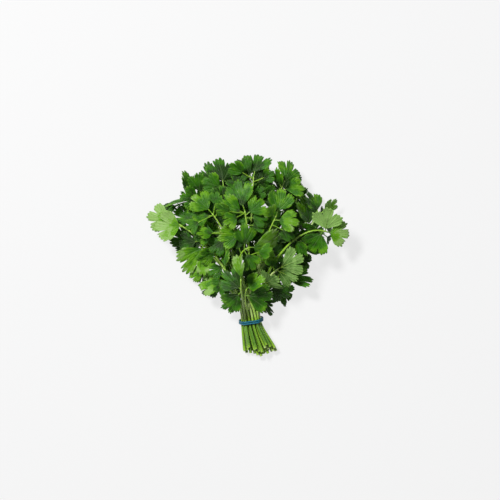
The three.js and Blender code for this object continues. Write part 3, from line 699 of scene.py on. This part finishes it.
# ---- the materials
def leaf_material():
    """A thin leaf: deep to yellow-green above, partly as painted shade, paler and duller below, with light
    coming through.
    """
    material, g, shader = new_material("coriander_leaf")
    veins = g.group(veins_group)
    tissue = g.group(mottle_group, Vector=g.places(), Scale=150.0)
    under, rim = g.field("underside"), g.field("rim")
    paler = g.scaled(rim, 0.5, -0.32)  # towards the rim
    patchy = g.scaled(tissue["Patches"], 0.44, -0.22)
    fresh = g.plus(g.plus(g.field("tone"), paler), patchy, clamp=True)
    # painted shade: the lowest tones give near-black greens to leaflets deep in the bunch and under others
    upper = g.mix(g.step(fresh, 0.0, 0.45), "0e3002", "357702")
    upper = g.mix(g.step(fresh, 0.4, 0.8), upper, "74b012")
    upper = g.mix(g.step(fresh, 0.78, 1.0), upper, "a4c972")
    lower = g.mix(g.step(fresh, 0.0, 1.0), "38681c", "a2cc70")
    colour = g.mix(under, upper, lower)
    colour = g.tint(colour, tissue["Specks"], 0.1, "2c6418")
    colour = g.tint(colour, veins["Net"], 0.08, "8fbb52")
    colour = g.tint(colour, veins["Side"], g.scaled(under, 0.24, 0.08), "a6cb74")
    colour = g.tint(colour, veins["Main"], g.scaled(under, 0.34, 0.12), "b4d488")
    colour = g.tint(colour, g.step(rim, 0.9, 1.0), 0.3, "86b240")
    raised = g.scaled(under, 2.0, -1.0)  # veins are sunk above and stand out below
    relief = g.times(g.plus(veins["Main"], g.times(veins["Side"], 0.55)), raised)
    relief = g.plus(relief, g.times(tissue["Specks"], 0.12))
    relief = g.plus(relief, g.times(veins["Net"], -0.2))
    relief = g.plus(relief, g.times(g.noise(g.places(), 380.0, 2.0), 1.6))
    g.feed(shader.inputs, {
        "Base Color": colour,
        "Specular IOR Level": 0.32,
        "Roughness": g.scaled(under, 0.16, g.scaled(tissue["Specks"], 0.14, 0.34)),
        "Normal": g.bump(relief, 0.7, 0.00022),
    })
    through = g.node("BsdfTranslucent", {"Color": g.mix(0.45, colour, "98d010")})[0]
    both = g.node("MixShader", (0.38, shader.outputs[0], through))[0]
    g.feed(material.node_tree.nodes["Material Output"].inputs, {"Surface": both})
    return material


def stalk_material():
    """A juicy ribbed stalk, paler above the band and near its cut end, with darker streaks along it and
    painted shade where other stalks of the bundle lie close.
    """
    material, g, shader = new_material("coriander_stalk")
    turn, skin = g.round_strand(0.7)
    streaks = g.noise(skin, 2.2, 3.0, 0.6)
    ribs = g.math("SINE", g.times(turn, 8.0))
    tissue = g.group(mottle_group, Vector=g.places(), Scale=220.0)
    tone = g.field("tone")
    colour = g.mix(g.step(tone, 0.0, 0.5), "437d02", "90c012")
    colour = g.mix(g.step(tone, 0.45, 1.0), colour, "cce28c")
    colour = g.tint(colour, g.step(streaks, 0.42, 0.62), 0.55, "2c5a04")
    colour = g.tint(colour, g.step(ribs, -0.2, 1.0), 0.14, "d3e3a0")
    colour = g.tint(colour, tissue["Patches"], 0.15, "8fb63c")
    relief = g.plus(g.times(ribs, 0.5), g.times(streaks, 0.8))
    g.feed(shader.inputs, {
        # painted shade: darkens the stalk towards deep green where other stalks of the bundle lie close
        "Base Color": g.tint(colour, g.field("shade"), 0.92, "16300a"),
        "Roughness": g.scaled(tissue["Specks"], 0.16, 0.3),
        "Normal": g.bump(relief, 0.6, 0.00012),
        "Subsurface Weight": 0.15,
        "Subsurface Radius": (0.0012, 0.002, 0.0006),
        "Subsurface Scale": 1.0,
    })
    return material


def cut_material():
    """The wet cut end of a stalk, pale, with its strands showing as darker dots."""
    material, g, shader = new_material("stalk_cut_end")
    cells = g.node("TexVoronoi", {"Vector": g.places(), "Scale": 2600.0}, feature="F1")
    dots = g.step(cells["Distance"], 0.25, 0.42, 1.0, 0.0)
    tissue = g.group(mottle_group, Vector=g.places(), Scale=500.0)
    g.feed(shader.inputs, {
        "Base Color": g.tint(g.mix(tissue["Patches"], "cfdfa0", "e6edc6"), dots, 0.6, "86a24a"),
        "Roughness": g.scaled(tissue["Specks"], 0.2, 0.2),
        "Normal": g.bump(dots, 0.5, 0.0001),
    })
    return material


def rubber_material():
    """Blue-green rubber, matt, with moulding streaks along the strand and a dusting of fine specks."""
    material, g, shader = new_material("teal_rubber")
    streaks = g.noise(g.round_strand(0.25)[1], 3.0, 3.0, 0.6)
    tissue = g.group(mottle_group, Vector=g.places(), Scale=400.0)
    colour = g.mix(g.step(streaks, 0.35, 0.65), "003848", "006a82")
    relief = g.plus(streaks, g.times(tissue["Specks"], 0.3))
    g.feed(shader.inputs, {
        "Base Color": g.tint(colour, tissue["Specks"], 0.1, "4fa9bd"),
        "Specular IOR Level": 0.3,
        "Roughness": g.scaled(tissue["Patches"], 0.2, 0.34),
        "Normal": g.bump(relief, 0.5, 0.0001),
    })
    return material


LEAF, STALK, CUT_END, RUBBER = leaf_material(), stalk_material(), cut_material(), rubber_material()


# ---- strands: stalks, stalklets, ribs, rubber
def build_strand_tree():
    """Geometry Nodes that sweep a ribbed rod along every line of a mesh of edges. The field radius gives the
    rod's radius, and around goes once round it from 0 to 1."""
    inputs = {"Lines": "Geometry", "Ribs": "Int", "Rib Depth": "Float", "Material": "Material"}
    g, given, result = new_group("sweep_strand", inputs, {"Strands": "Geometry"}, "GeometryNode")
    g.tree.is_modifier = True
    line = g.node("MeshToCurve", {"Mesh": given["Lines"]})[0]
    radius = g.node("InputNamedAttribute", {"Name": "radius"}, data_type="FLOAT")[0]
    inner = g.math("SUBTRACT", 1.0, given["Rib Depth"])
    star = g.node("CurveStar", {"Points": given["Ribs"], "Inner Radius": inner, "Outer Radius": 1.0})[0]
    around = {"Geometry": star, "Name": "around", "Value": g.node("SplineParameter")["Factor"]}
    star = g.node("StoreNamedAttribute", around, data_type="FLOAT", domain="POINT")[0]
    rod = {"Curve": line, "Profile Curve": star, "Scale": radius, "Fill Caps": True}
    made = g.node("CurveToMesh", rod)[0]
    made = g.node("SetShadeSmooth", {"Geometry": made, "Shade Smooth": True})[0]
    made = g.node("RealizeInstances", {"Geometry": made})[0]
    made = g.node("SetMaterial", {"Geometry": made, "Material": given["Material"]})[0]
    g.feed(result, [made])
    return g.tree


strand_tree = build_strand_tree()
FIELDS = ("tone", "underside", "rim", "shade")


def write(collection, name, values, kind=np.float32):
    collection.foreach_set(name, np.asarray(values).astype(kind).ravel())


def read(collection, name, width=1, kind=np.float32):
    values = np.zeros(len(collection) * width, kind)
    collection.foreach_get(name, values)
    return values


def firsts_of(totals):
    """Where each run starts in a list of runs, from their lengths."""
    return np.concatenate([[0], np.cumsum(totals)[:-1]])


def shown(name, data):
    """An object of the scene with a mesh, a light or a camera for its data."""
    made = bpy.data.objects.new(name, data)
    bpy.context.scene.collection.objects.link(made)
    return made


class Mesh:
    """Gathers the shells of one piece: points in millimetres, faces, their map and their fields."""

    def __init__(self):
        self.points, self.faces, self.maps, self.counts = [], [], [], 0
        self.kinds, self.smooth = [], []
        self.fields = {name: [] for name in FIELDS}

    def add(self, points, faces, places, material, flat=0, **fields):
        """Adds a shell. faces is a list of arrays of corners, the last few of them shaded flat. places has
        every corner's place on the map."""
        for k, (block, at) in enumerate(zip(faces, places)):
            self.faces.append(block + self.counts)
            self.maps.append(at.reshape(-1, 2))
            self.kinds.append(np.full(len(block), material))
            self.smooth.append(np.full(len(block), k < len(faces) - flat))
        for name in FIELDS:
            self.fields[name].append(np.broadcast_to(fields.get(name, 0.0), len(points)))
        self.points.append(points)
        self.counts += len(points)

    def build(self, name, materials):
        mesh = bpy.data.meshes.new(name)
        points = (np.concatenate(self.points) - FOOT) * MM
        corners = np.concatenate([f.ravel() for f in self.faces])
        totals = np.concatenate([np.full(len(f), f.shape[1]) for f in self.faces])
        mesh.vertices.add(len(points))
        mesh.loops.add(len(corners))
        mesh.polygons.add(len(totals))
        write(mesh.vertices, "co", points)
        write(mesh.loops, "vertex_index", corners, np.int32)
        write(mesh.polygons, "loop_start", firsts_of(totals), np.int32)
        write(mesh.polygons, "material_index", np.concatenate(self.kinds), np.int32)
        write(mesh.polygons, "use_smooth", np.concatenate(self.smooth), bool)
        write(mesh.uv_layers.new(name="flat_leaf").data, "uv", np.concatenate(self.maps))
        for field, parts in self.fields.items():
            write(mesh.attributes.new(field, "FLOAT", "POINT").data, "value", np.concatenate(parts))
        for material in materials:
            mesh.materials.append(material)
        mesh.update(calc_edges=True)
        mesh.validate()
        return shown(name, mesh)


def sweep(strands, ribs, rib_depth, material, closed=False):
    """Rods along strands, each (points, radii, fields along and tone), as the arrays of one mesh."""
    mesh = bpy.data.meshes.new("lines")
    counts = [len(points) for points, _, _ in strands]
    starts = firsts_of(counts).tolist()
    edges = [(s + k, s + k + 1) for s, n in zip(starts, counts) for k in range(n - 1)]
    if closed:
        edges += [(s + n - 1, s) for s, n in zip(starts, counts)]
    mesh.from_pydata(np.concatenate([p for p, _, _ in strands]).tolist(), edges, [])
    values = {"radius": np.concatenate([r for _, r, _ in strands])}
    for name in ("along", "tone"):
        values[name] = np.concatenate([np.broadcast_to(f[name], len(p)) for p, _, f in strands])
    for name, value in values.items():
        write(mesh.attributes.new(name, "FLOAT", "POINT").data, "value", value)
    carrier = shown("lines", mesh)
    modifier = carrier.modifiers.new("sweep", "NODES")
    modifier.node_group = strand_tree
    inputs = {"Ribs": ribs, "Rib Depth": rib_depth, "Material": material}
    for item in strand_tree.interface.items_tree:
        if item.name in inputs:
            modifier[item.identifier] = inputs[item.name]
    made = bpy.data.meshes.new_from_object(carrier.evaluated_get(bpy.context.evaluated_depsgraph_get()))
    points = read(made.vertices, "co", 3).reshape(-1, 3).astype(float)
    corners = read(made.loops, "vertex_index", kind=np.int32)
    totals = read(made.polygons, "loop_total", kind=np.int32)
    fields = {name: read(made.attributes[name].data, "value") for name in ("around", "along", "tone")}
    firsts, sides = firsts_of(totals), 2 * ribs
    quads = corners[firsts[totals == 4][:, None] + np.arange(4)]
    caps = corners[firsts[totals == sides][:, None] + np.arange(sides)]
    bpy.data.objects.remove(carrier)
    bpy.data.meshes.remove(mesh)
    bpy.data.meshes.remove(made)
    return points, quads, caps, fields


def strand_map(fields, quads):
    """The map of swept rods, once round them by U and along them in millimetres by V, whole at its seam."""
    around = fields["around"][quads]
    seam = (around.max(1) - around.min(1))[:, None] > 0.5
    around = np.where(seam & (around < 0.5), around + 1, around)
    return np.stack([around, fields["along"][quads]], axis=2)


# ---- the leaflets' finer form
TEETH = {-1: 5, 0: 4, 1: 5}  # of each lobe
COLUMNS_IN_TOOTH = 6
TOOTH_DEPTH = 0.085
CLEFT_WIDTH = 0.1  # of the turn between two lobes
STALKLET_RADIUS = 0.4
SIDE_RIB_RADIUS = 0.2
FULL_QUIRK = 18  # a leaflet this long has pleats, folds and curls at their full size
GROOVE = 0.16  # how deep a blade is sunk along the main vein of each lobe
GROOVE_WIDTH = 0.12  # of the turn between two lobes
FLEX_WIDTH = 0.42
CURL_FROM = 0.55  # of the way to the rim
LOWEST_SKINS = {1: 0.36, -1: 0.04}  # how near the floor a blade's upper side and underside come
SIDE_END = 0.985  # where a side lobe's outer edge ends, of its half width


def rim_columns(leaf, columns, draw):
    """The columns of a blade's grid from one side of its base to the other: their angle off the midrib, their
    reach to the rim, and how near each is to the middle of its tooth, from 0 to 1."""
    turn, width = leaf["lobe_turn"], leaf["lobe_width"]
    depth = TOOTH_DEPTH * (0.8 + 0.5 * draw())
    angles, reaches, middles = [], [], []
    for at, teeth in TEETH.items():
        low = at * turn - (turn / 2 if at >= 0 else SIDE_END * width)
        high = at * turn + (turn / 2 if at <= 0 else SIDE_END * width)
        sizes = np.array([1 + 0.09 * (draw() - 0.35) for _ in range(teeth)] + [1.0])
        place = np.arange(teeth * columns + 1) / columns
        angle = low + (high - low) * place / teeth
        middle = np.abs(np.sin(np.pi * place))
        reach = blade_reach(leaf, np.clip(angle, low + 1e-6, high - 1e-6))
        reach = reach * (1 - depth * (1 - middle**0.75))
        reach = reach * (1 + (sizes[place.astype(int)] - 1) * middle)
        for edge in (-0.5, 0.5):
            near = np.exp(-((angle / turn - edge) / CLEFT_WIDTH) ** 2)
            reach = reach * (1 - (leaf["cleft"] + FINE_CLEFT) * near)
        if at > -1:
            reaches[-1][-1] = min(reaches[-1][-1], reach[0])
            angle, reach, middle = angle[1:], reach[1:], middle[1:]
        angles.append(angle)
        reaches.append(reach)
        middles.append(middle)
    return np.concatenate(angles), np.concatenate(reaches), np.concatenate(middles)


def blade_lift(leaf, share, angles, middles):
    """How far a blade's fine form stands off its plain surface: pleats between the veins, lobes that flex,
    and a rim that curls."""
    quirk = leaf["quirk"]
    turn = angles / leaf["lobe_turn"]
    lift = quirk["pleat"] * (0.5 - middles) * share * (1.2 - 0.55 * share)
    for at, flex in zip((-1, 0, 1), quirk["flex"]):
        lift = lift + flex * share**2 * np.exp(-(((turn - at) / FLEX_WIDTH) ** 2))
        lift = lift - GROOVE * np.exp(-(((turn - at) / GROOVE_WIDTH) ** 2)) * share * (1 - share) * 4
    lift = lift + quirk["fold"] * share * (np.abs(turn) - 0.5)
    return lift + quirk["curl"] * np.maximum(0, share - CURL_FROM) ** 2 * 4


def add_blade(mesh, leaf):
    """Adds a leaflet's blade: a fan and rings of faces on each side, and a flat rim between them."""
    draw = seeded(leaf["seed"] + SEEDS["rims"])
    size = min(1, leaf["length"] / FULL_QUIRK)
    leaf["quirk"] = {
        "pleat": size * (0.3 + 0.5 * draw()),
        "curl": size * (draw() - 0.5) * 1.4,
        "fold": size * (draw() - 0.35) * 2.2,
        "flex": [size * (draw() - 0.5) * 1.4 for _ in TEETH],
    }
    columns, rings = (COLUMNS_IN_TOOTH, RINGS) if leaf["number"] is not None else YOUNG_DETAIL
    angles, reaches, middles = leaf["rim"] = rim_columns(leaf, columns, draw)
    share = np.arange(1, rings + 1)[:, None] / rings
    radial = share * reaches
    u = leaf["stalklet"] + radial * np.cos(np.radians(angles))
    v = radial * np.sin(np.radians(angles))
    lift = blade_lift(leaf, share, angles, middles)
    half = FINE_THICKNESS / 2 * (1 - (1 - RIM_SHARE) * share**6)
    layers = []
    for side, lowest in LOWEST_SKINS.items():
        pole = blade_points(leaf, np.array([leaf["stalklet"]]), np.zeros(1), side * FINE_THICKNESS / 2)
        layer = np.concatenate([pole, blade_points(leaf, u, v, lift + side * half).reshape(-1, 3)])
        layer[:, 2] = np.maximum(layer[:, 2], lowest)
        layers.append(layer)
    columns = len(angles)
    below = len(layers[0])
    ring = 1 + np.arange(rings)[:, None] * columns + np.arange(columns)
    fan = np.stack([np.zeros(columns - 1, int), ring[0, :-1], ring[0, 1:]], axis=1)
    cells = np.stack([ring[:-1, :-1], ring[1:, :-1], ring[1:, 1:], ring[:-1, 1:]], axis=2).reshape(-1, 4)
    loop = np.concatenate([[0], ring[:, 0], ring[-1, 1:-1], ring[::-1, -1], [0]])
    edge = np.stack([loop[1:], loop[:-1], loop[:-1] + below, loop[1:] + below], axis=1)
    flat_turn = angles / leaf["lobe_turn"] * VEIN_TURN
    flat = np.stack([radial * np.cos(flat_turn), radial * np.sin(flat_turn)], axis=2).reshape(-1, 2)
    flat = np.concatenate([[[0, 0]], flat / leaf["length"]])
    rim = np.concatenate([[0], np.broadcast_to(share, radial.shape).ravel()])
    fields = {"tone": leaf["tone"], "underside": np.repeat([0.0, 1.0], below), "rim": np.tile(rim, 2)}
    faces = [fan, fan[:, ::-1] + below, cells, cells[:, ::-1] + below, edge]
    places = np.tile(flat, (2, 1))
    mesh.add(np.concatenate(layers), faces, [places[f] for f in faces], 0, flat=1, **fields)


def under_blade(leaf, reach, turn, radii):
    """The line of a rib under the blade, at angle turn off the midrib, sunk into it by half its radius."""
    angles, reaches, middles = leaf["rim"]
    share = reach / np.interp(turn, angles, reaches)
    lift = blade_lift(leaf, share, turn, np.interp(turn, angles, middles)) - radii
    turn = math.radians(turn)
    return blade_points(leaf, leaf["stalklet"] + reach * math.cos(turn), reach * math.sin(turn), lift)


def leaf_strands(stem, leaf):
    """A leaflet's stalklet, which runs on under the blade as its midrib, and the ribs of its side lobes."""
    stalklet, length = leaf["stalklet"], leaf["length"]
    root = min(0.75 * stem["radii"][leaf["at"]], 1.5 * STALKLET_RADIUS)
    tone = stem["tone"] * 0.6 + 0.15
    free = np.linspace(-ROOT_DEPTH, stalklet, 8)
    free_radii = root + (STALKLET_RADIUS - root) * ramp(free, 0, stalklet)
    reach = np.linspace(0.08, 0.6, 9) * length
    radii = STALKLET_RADIUS * (1 - 0.85 * (reach / reach[-1]) ** 0.5)
    line = np.concatenate([blade_points(leaf, free, 0 * free), under_blade(leaf, reach, 0, radii)])
    strands = [(line, np.concatenate([free_radii, radii]), np.concatenate([free, stalklet + reach]))]
    for side in (-1, 1):
        reach = np.linspace(0.02, 0.5, 7) * length
        radii = SIDE_RIB_RADIUS * (1 - 0.8 * reach / reach[-1])
        strands.append((under_blade(leaf, reach, side * leaf["lobe_turn"], radii), radii, reach))
    strands = [(line, radii, {"along": along, "tone": tone}) for line, radii, along in strands]
    for points, radii, _ in strands:
        points[:, 2] = np.maximum(points[:, 2], radii + FLOOR_GAP)
    return strands


CUT_RINGS = ((0.88, 0.12), (0.62, 0.1), (0.4, -0.14))  # share of the stalk's radius, and height above its end
CUT_HOLLOW = 0.2


def add_cut_end(mesh, stem, cap, points):
    """Closes the cut end of a stalk with a rounded lip and a shallow hollow where its pith is."""
    centre = points[cap].mean(axis=0)
    out = unit(stem["line"][0] - stem["line"][1])
    rings = [points[cap]]
    for share, height in CUT_RINGS:
        rings.append(centre + (points[cap] - centre) * share + out * height)
    count, last = len(cap), len(CUT_RINGS)
    added = np.concatenate(rings + [[centre - out * CUT_HOLLOW]])
    at = np.arange(count)
    after = (at + 1) % count
    faces = [np.stack([at, after, after + count, at + count], axis=1) + k * count for k in range(last)]
    faces.append(np.stack([at + last * count, after + last * count, np.full(count, len(added) - 1)], axis=1))
    mesh.add(added, faces, [np.zeros((*f.shape, 2)) for f in faces], 2, tone=0.5)


def crowd_shade_of(stem, points):
    """How closely other stalks face each point of a stalk's skin in the bundle, from 0 to 1: the amount of
    painted shade that darkens the stalk between its neighbours.
    """
    line = stem["line"][stem["line"][:, 1] < CROWDED]
    others = [s for s in stems if s is not stem]
    near = np.concatenate([s["line"] for s in others])
    radii = np.concatenate([s["radii"] for s in others])
    near, radii = near[near[:, 1] < CROWDED], radii[near[:, 1] < CROWDED]
    crowd_shade = np.zeros(len(points))
    for block in np.array_split(np.flatnonzero(points[:, 1] < CROWDED - 1), 8):  # to spare memory
        at = points[block]
        middle = line[np.argmin(((at[:, None] - line) ** 2).sum(2), axis=1)]
        out = at - middle
        faced = at + CROWDED_BEYOND * out / np.linalg.norm(out, axis=1)[:, None]
        gap = (np.sqrt(((faced[:, None] - near) ** 2).sum(2)) - radii).min(axis=1)
        crowd_shade[block] = np.clip(1 - gap / CROWDED_GAP, 0, 1)
    return crowd_shade


def leafy_stem(stem):
    """One piece: a stalk with all that grew on it."""
    mesh = Mesh()
    for leaf in stem["blades"]:
        add_blade(mesh, leaf)
    along = np.arange(len(stem["line"])) * STEM_STEP
    up = stem["line"][:, 1]
    paler = ramp(up, *PALER) * (STALK_TONES["above"] + STALK_TONES["fading"] * ramp(up, *FADING))
    cut = STALK_TONES["cut"] * np.clip(1 - along / CUT_PALE, 0, 1)
    tone = np.clip(stem["tone"] + paler + cut, 0, 1)
    strands = [(stem["line"], stem["radii"], {"along": along, "tone": tone})]
    for leaf in stem["blades"]:
        strands += leaf_strands(stem, leaf)
    points, quads, caps, fields = sweep(strands, STALK_SIDES // 2, RIB_DEPTH, STALK)
    cut_end = np.argmin(np.linalg.norm(points[caps].mean(axis=1) - stem["line"][0], axis=1))
    others = np.delete(caps, cut_end, axis=0)
    places = [strand_map(fields, quads), np.zeros((*others.shape, 2))]
    # painted shade between the bundle's stalks, kept in the shade field
    crowd_shade = crowd_shade_of(stem, points)
    mesh.add(points, [quads, others], places, 1, flat=1, tone=fields["tone"], shade=crowd_shade)
    add_cut_end(mesh, stem, caps[cut_end], points)
    return mesh.build(stem["name"] + "_sprig", [LEAF, STALK, CUT_END])


# ---- the rubber band
BAND_STEPS = 96  # points in one turn
BAND_STEP = 0.6  # between them, about
BAND_SIDES = 14
BAND_SMOOTHINGS = 10


def rubber_band():
    """One loop of rubber that goes round the bundle twice. Its two turns lie beside each other, and under the
    bundle one passes below the other, so that they change sides and the loop closes."""

    def slant(x, z):
        return BAND_TURN * x - BAND_TILT * (z - BAND_MIDDLE)

    lines = np.concatenate([s["line"] for s in stems])
    held = lines[np.abs(lines[:, 1] - slant(lines[:, 0], lines[:, 2])) < BAND_REACH]
    count = np.arange(2 * BAND_STEPS)
    travelled = 2 * np.pi * count / BAND_STEPS  # since the first passing under the bundle
    passing = np.floor(count / BAND_STEPS + 0.5)
    past = (travelled - 2 * np.pi * passing) / BAND_SWAP
    twist = np.pi * passing + np.pi / 2 * np.clip(past, -1, 1)
    reach = HOLD + STRAND_PITCH * np.maximum(0, np.cos(twist))
    angle = travelled - np.pi / 2
    ways = np.stack([np.cos(angle), np.sin(angle)])
    outermost = held[np.argmax(held[:, [0, 2]] @ ways, axis=0)]
    x, z = outermost[:, [0, 2]].T + reach * ways
    line = np.stack([x, slant(x, z) + STRAND_PITCH / 2 * np.sin(twist), z], axis=1)
    for _ in range(BAND_SMOOTHINGS):  # rubber bridges the gaps between stems in smooth curves
        line = line * 0.5 + np.roll(line, 1, axis=0) * 0.25 + np.roll(line, -1, axis=0) * 0.25
    along = np.arange(len(line)) * BAND_STEP
    strands = [(line, np.full(len(line), STRAND / 2), {"along": along, "tone": 0.5})]
    points, quads, _, fields = sweep(strands, BAND_SIDES // 2, 0.0, RUBBER, closed=True)
    mesh = Mesh()
    mesh.add(points, [quads], [strand_map(fields, quads)], 0, tone=0.5)
    return mesh.build("rubber_tie", [RUBBER])


# ---- the pieces
# What counts towards a leaflet's tone, where that isn't stated, and how pale a stalk is. Besides freshness,
# the
# tone holds painted light and shade: upper leaflets lighter, those that others cover darker. Young leaflets
# are painted deeper, as shade in the gaps that they fill, so that they don't stand out from them.
LEAF_TONES = {"least": 0.13, "outer": 0.3, "high": 0.42, "covered": -0.35, "drawn": 0.3, "young": -0.12}
STALK_TONES = {"drawn": 0.55, "above": 0.62, "fading": -0.25, "cut": 0.4}
OUTER = (0, 75)  # from where to where leaflets count as outer, to either side
HIGH = (8, 46)  # and as high, above the floor
FRESHEST = 0.8
PALER = (-2, 4)  # above the band, where stalks turn paler
FADING = (12, 57)  # and where they turn green again
CUT_PALE = 3  # how far up from its cut end a stalk is paler


def set_tones(stem, cover):
    """Each leaflet's tone: freshness, most in outer ones, with painted light and shade that makes upper ones
    lighter and those that others cover darker.
    """
    draw = seeded(stem["seed"] + SEEDS["tones"])
    stem["tone"] = STALK_TONES["drawn"] * draw()
    for k, leaf in enumerate(stem["blades"]):
        young = leaf["number"] is None
        leaf["seed"] = stem["seed"] * 100 + (k if young else leaf["number"])
        x, _, z = blade_samples(leaf)[0].mean(axis=0)
        amounts = {
            "least": 1,
            "outer": ramp(abs(x), *OUTER) ** 1.5,
            # painted light and shade: upper leaflets lighter, covered ones darker
            "high": ramp(z, *HIGH),
            "covered": cover.share(leaf),
            "drawn": draw() - 0.5,
            "young": young,
        }
        usual = min(FRESHEST, max(0, sum(LEAF_TONES[name] * amount for name, amount in amounts.items())))
        leaf["tone"] = usual if leaf["fresh"] is None else leaf["fresh"]


def place_piece(piece, node):
    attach(piece, "root")
    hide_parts(node)


for stem in stems:
    set_tones(stem, cover)
    place_piece(leafy_stem(stem), "stem_" + stem["name"])
place_piece(rubber_band(), "rubber_band")


# ---- floor, light and camera
def floor(half_width):
    mesh = bpy.data.meshes.new("floor")
    corners = [(x * half_width, y * half_width, 0) for x, y in ((-1, -1), (1, -1), (1, 1), (-1, 1))]
    mesh.from_pydata(corners, [], [(0, 1, 2, 3)])
    material, g, shader = new_material("pale_floor")
    g.feed(shader.inputs, {
        "Base Color": g.mix(g.noise(g.places(), 3.0, 2.0), "5a5a5b", "5d5d5d"),
        "Roughness": 0.7,
        "Emission Color": (1, 1, 1, 1),
        "Emission Strength": 0.75,
    })
    mesh.materials.append(material)
    shown("floor", mesh)


def area_light(name, place, size, power):
    """A round lamp, aimed at the middle of the bunch."""
    data = bpy.data.lights.new(name, "AREA")
    data.shape, data.size, data.energy = "DISK", size, power
    light = shown(name, data)
    light.location = place
    light.rotation_euler = (Vector((0, 0, 0.02)) - Vector(place)).to_track_quat("-Z", "Y").to_euler()


floor(3.0)
area_light("key", (-0.7, 0.8, 1.7), 0.4, 52)
area_light("fill", (0.9, -0.6, 1.3), 1.2, 2)

scene = bpy.context.scene
scene.world = bpy.data.worlds.new("studio")
scene.world.use_nodes = True
scene.world.node_tree.nodes["Background"].inputs["Color"].default_value = (1, 1, 1, 1)
scene.world.node_tree.nodes["Background"].inputs["Strength"].default_value = 0.16
scene.view_settings.view_transform = "Standard"

CAMERA_HEIGHT = 2.0  # above the middle of the bunch's height
VIEW_WIDTH = 0.4  # of the picture, at that height
MIDDLE_HEIGHT = 0.022
LOOKED_AT = (-0.8, 56.8)  # in the bunch's own axes
camera_data = bpy.data.cameras.new("camera")
camera_data.lens = camera_data.sensor_width * CAMERA_HEIGHT / VIEW_WIDTH
camera_data.clip_end = 20
scene.camera = shown("camera", camera_data)
scene.camera.location = (*((LOOKED_AT[k] - FOOT[k]) * MM for k in (0, 1)), MIDDLE_HEIGHT + CAMERA_HEIGHT)
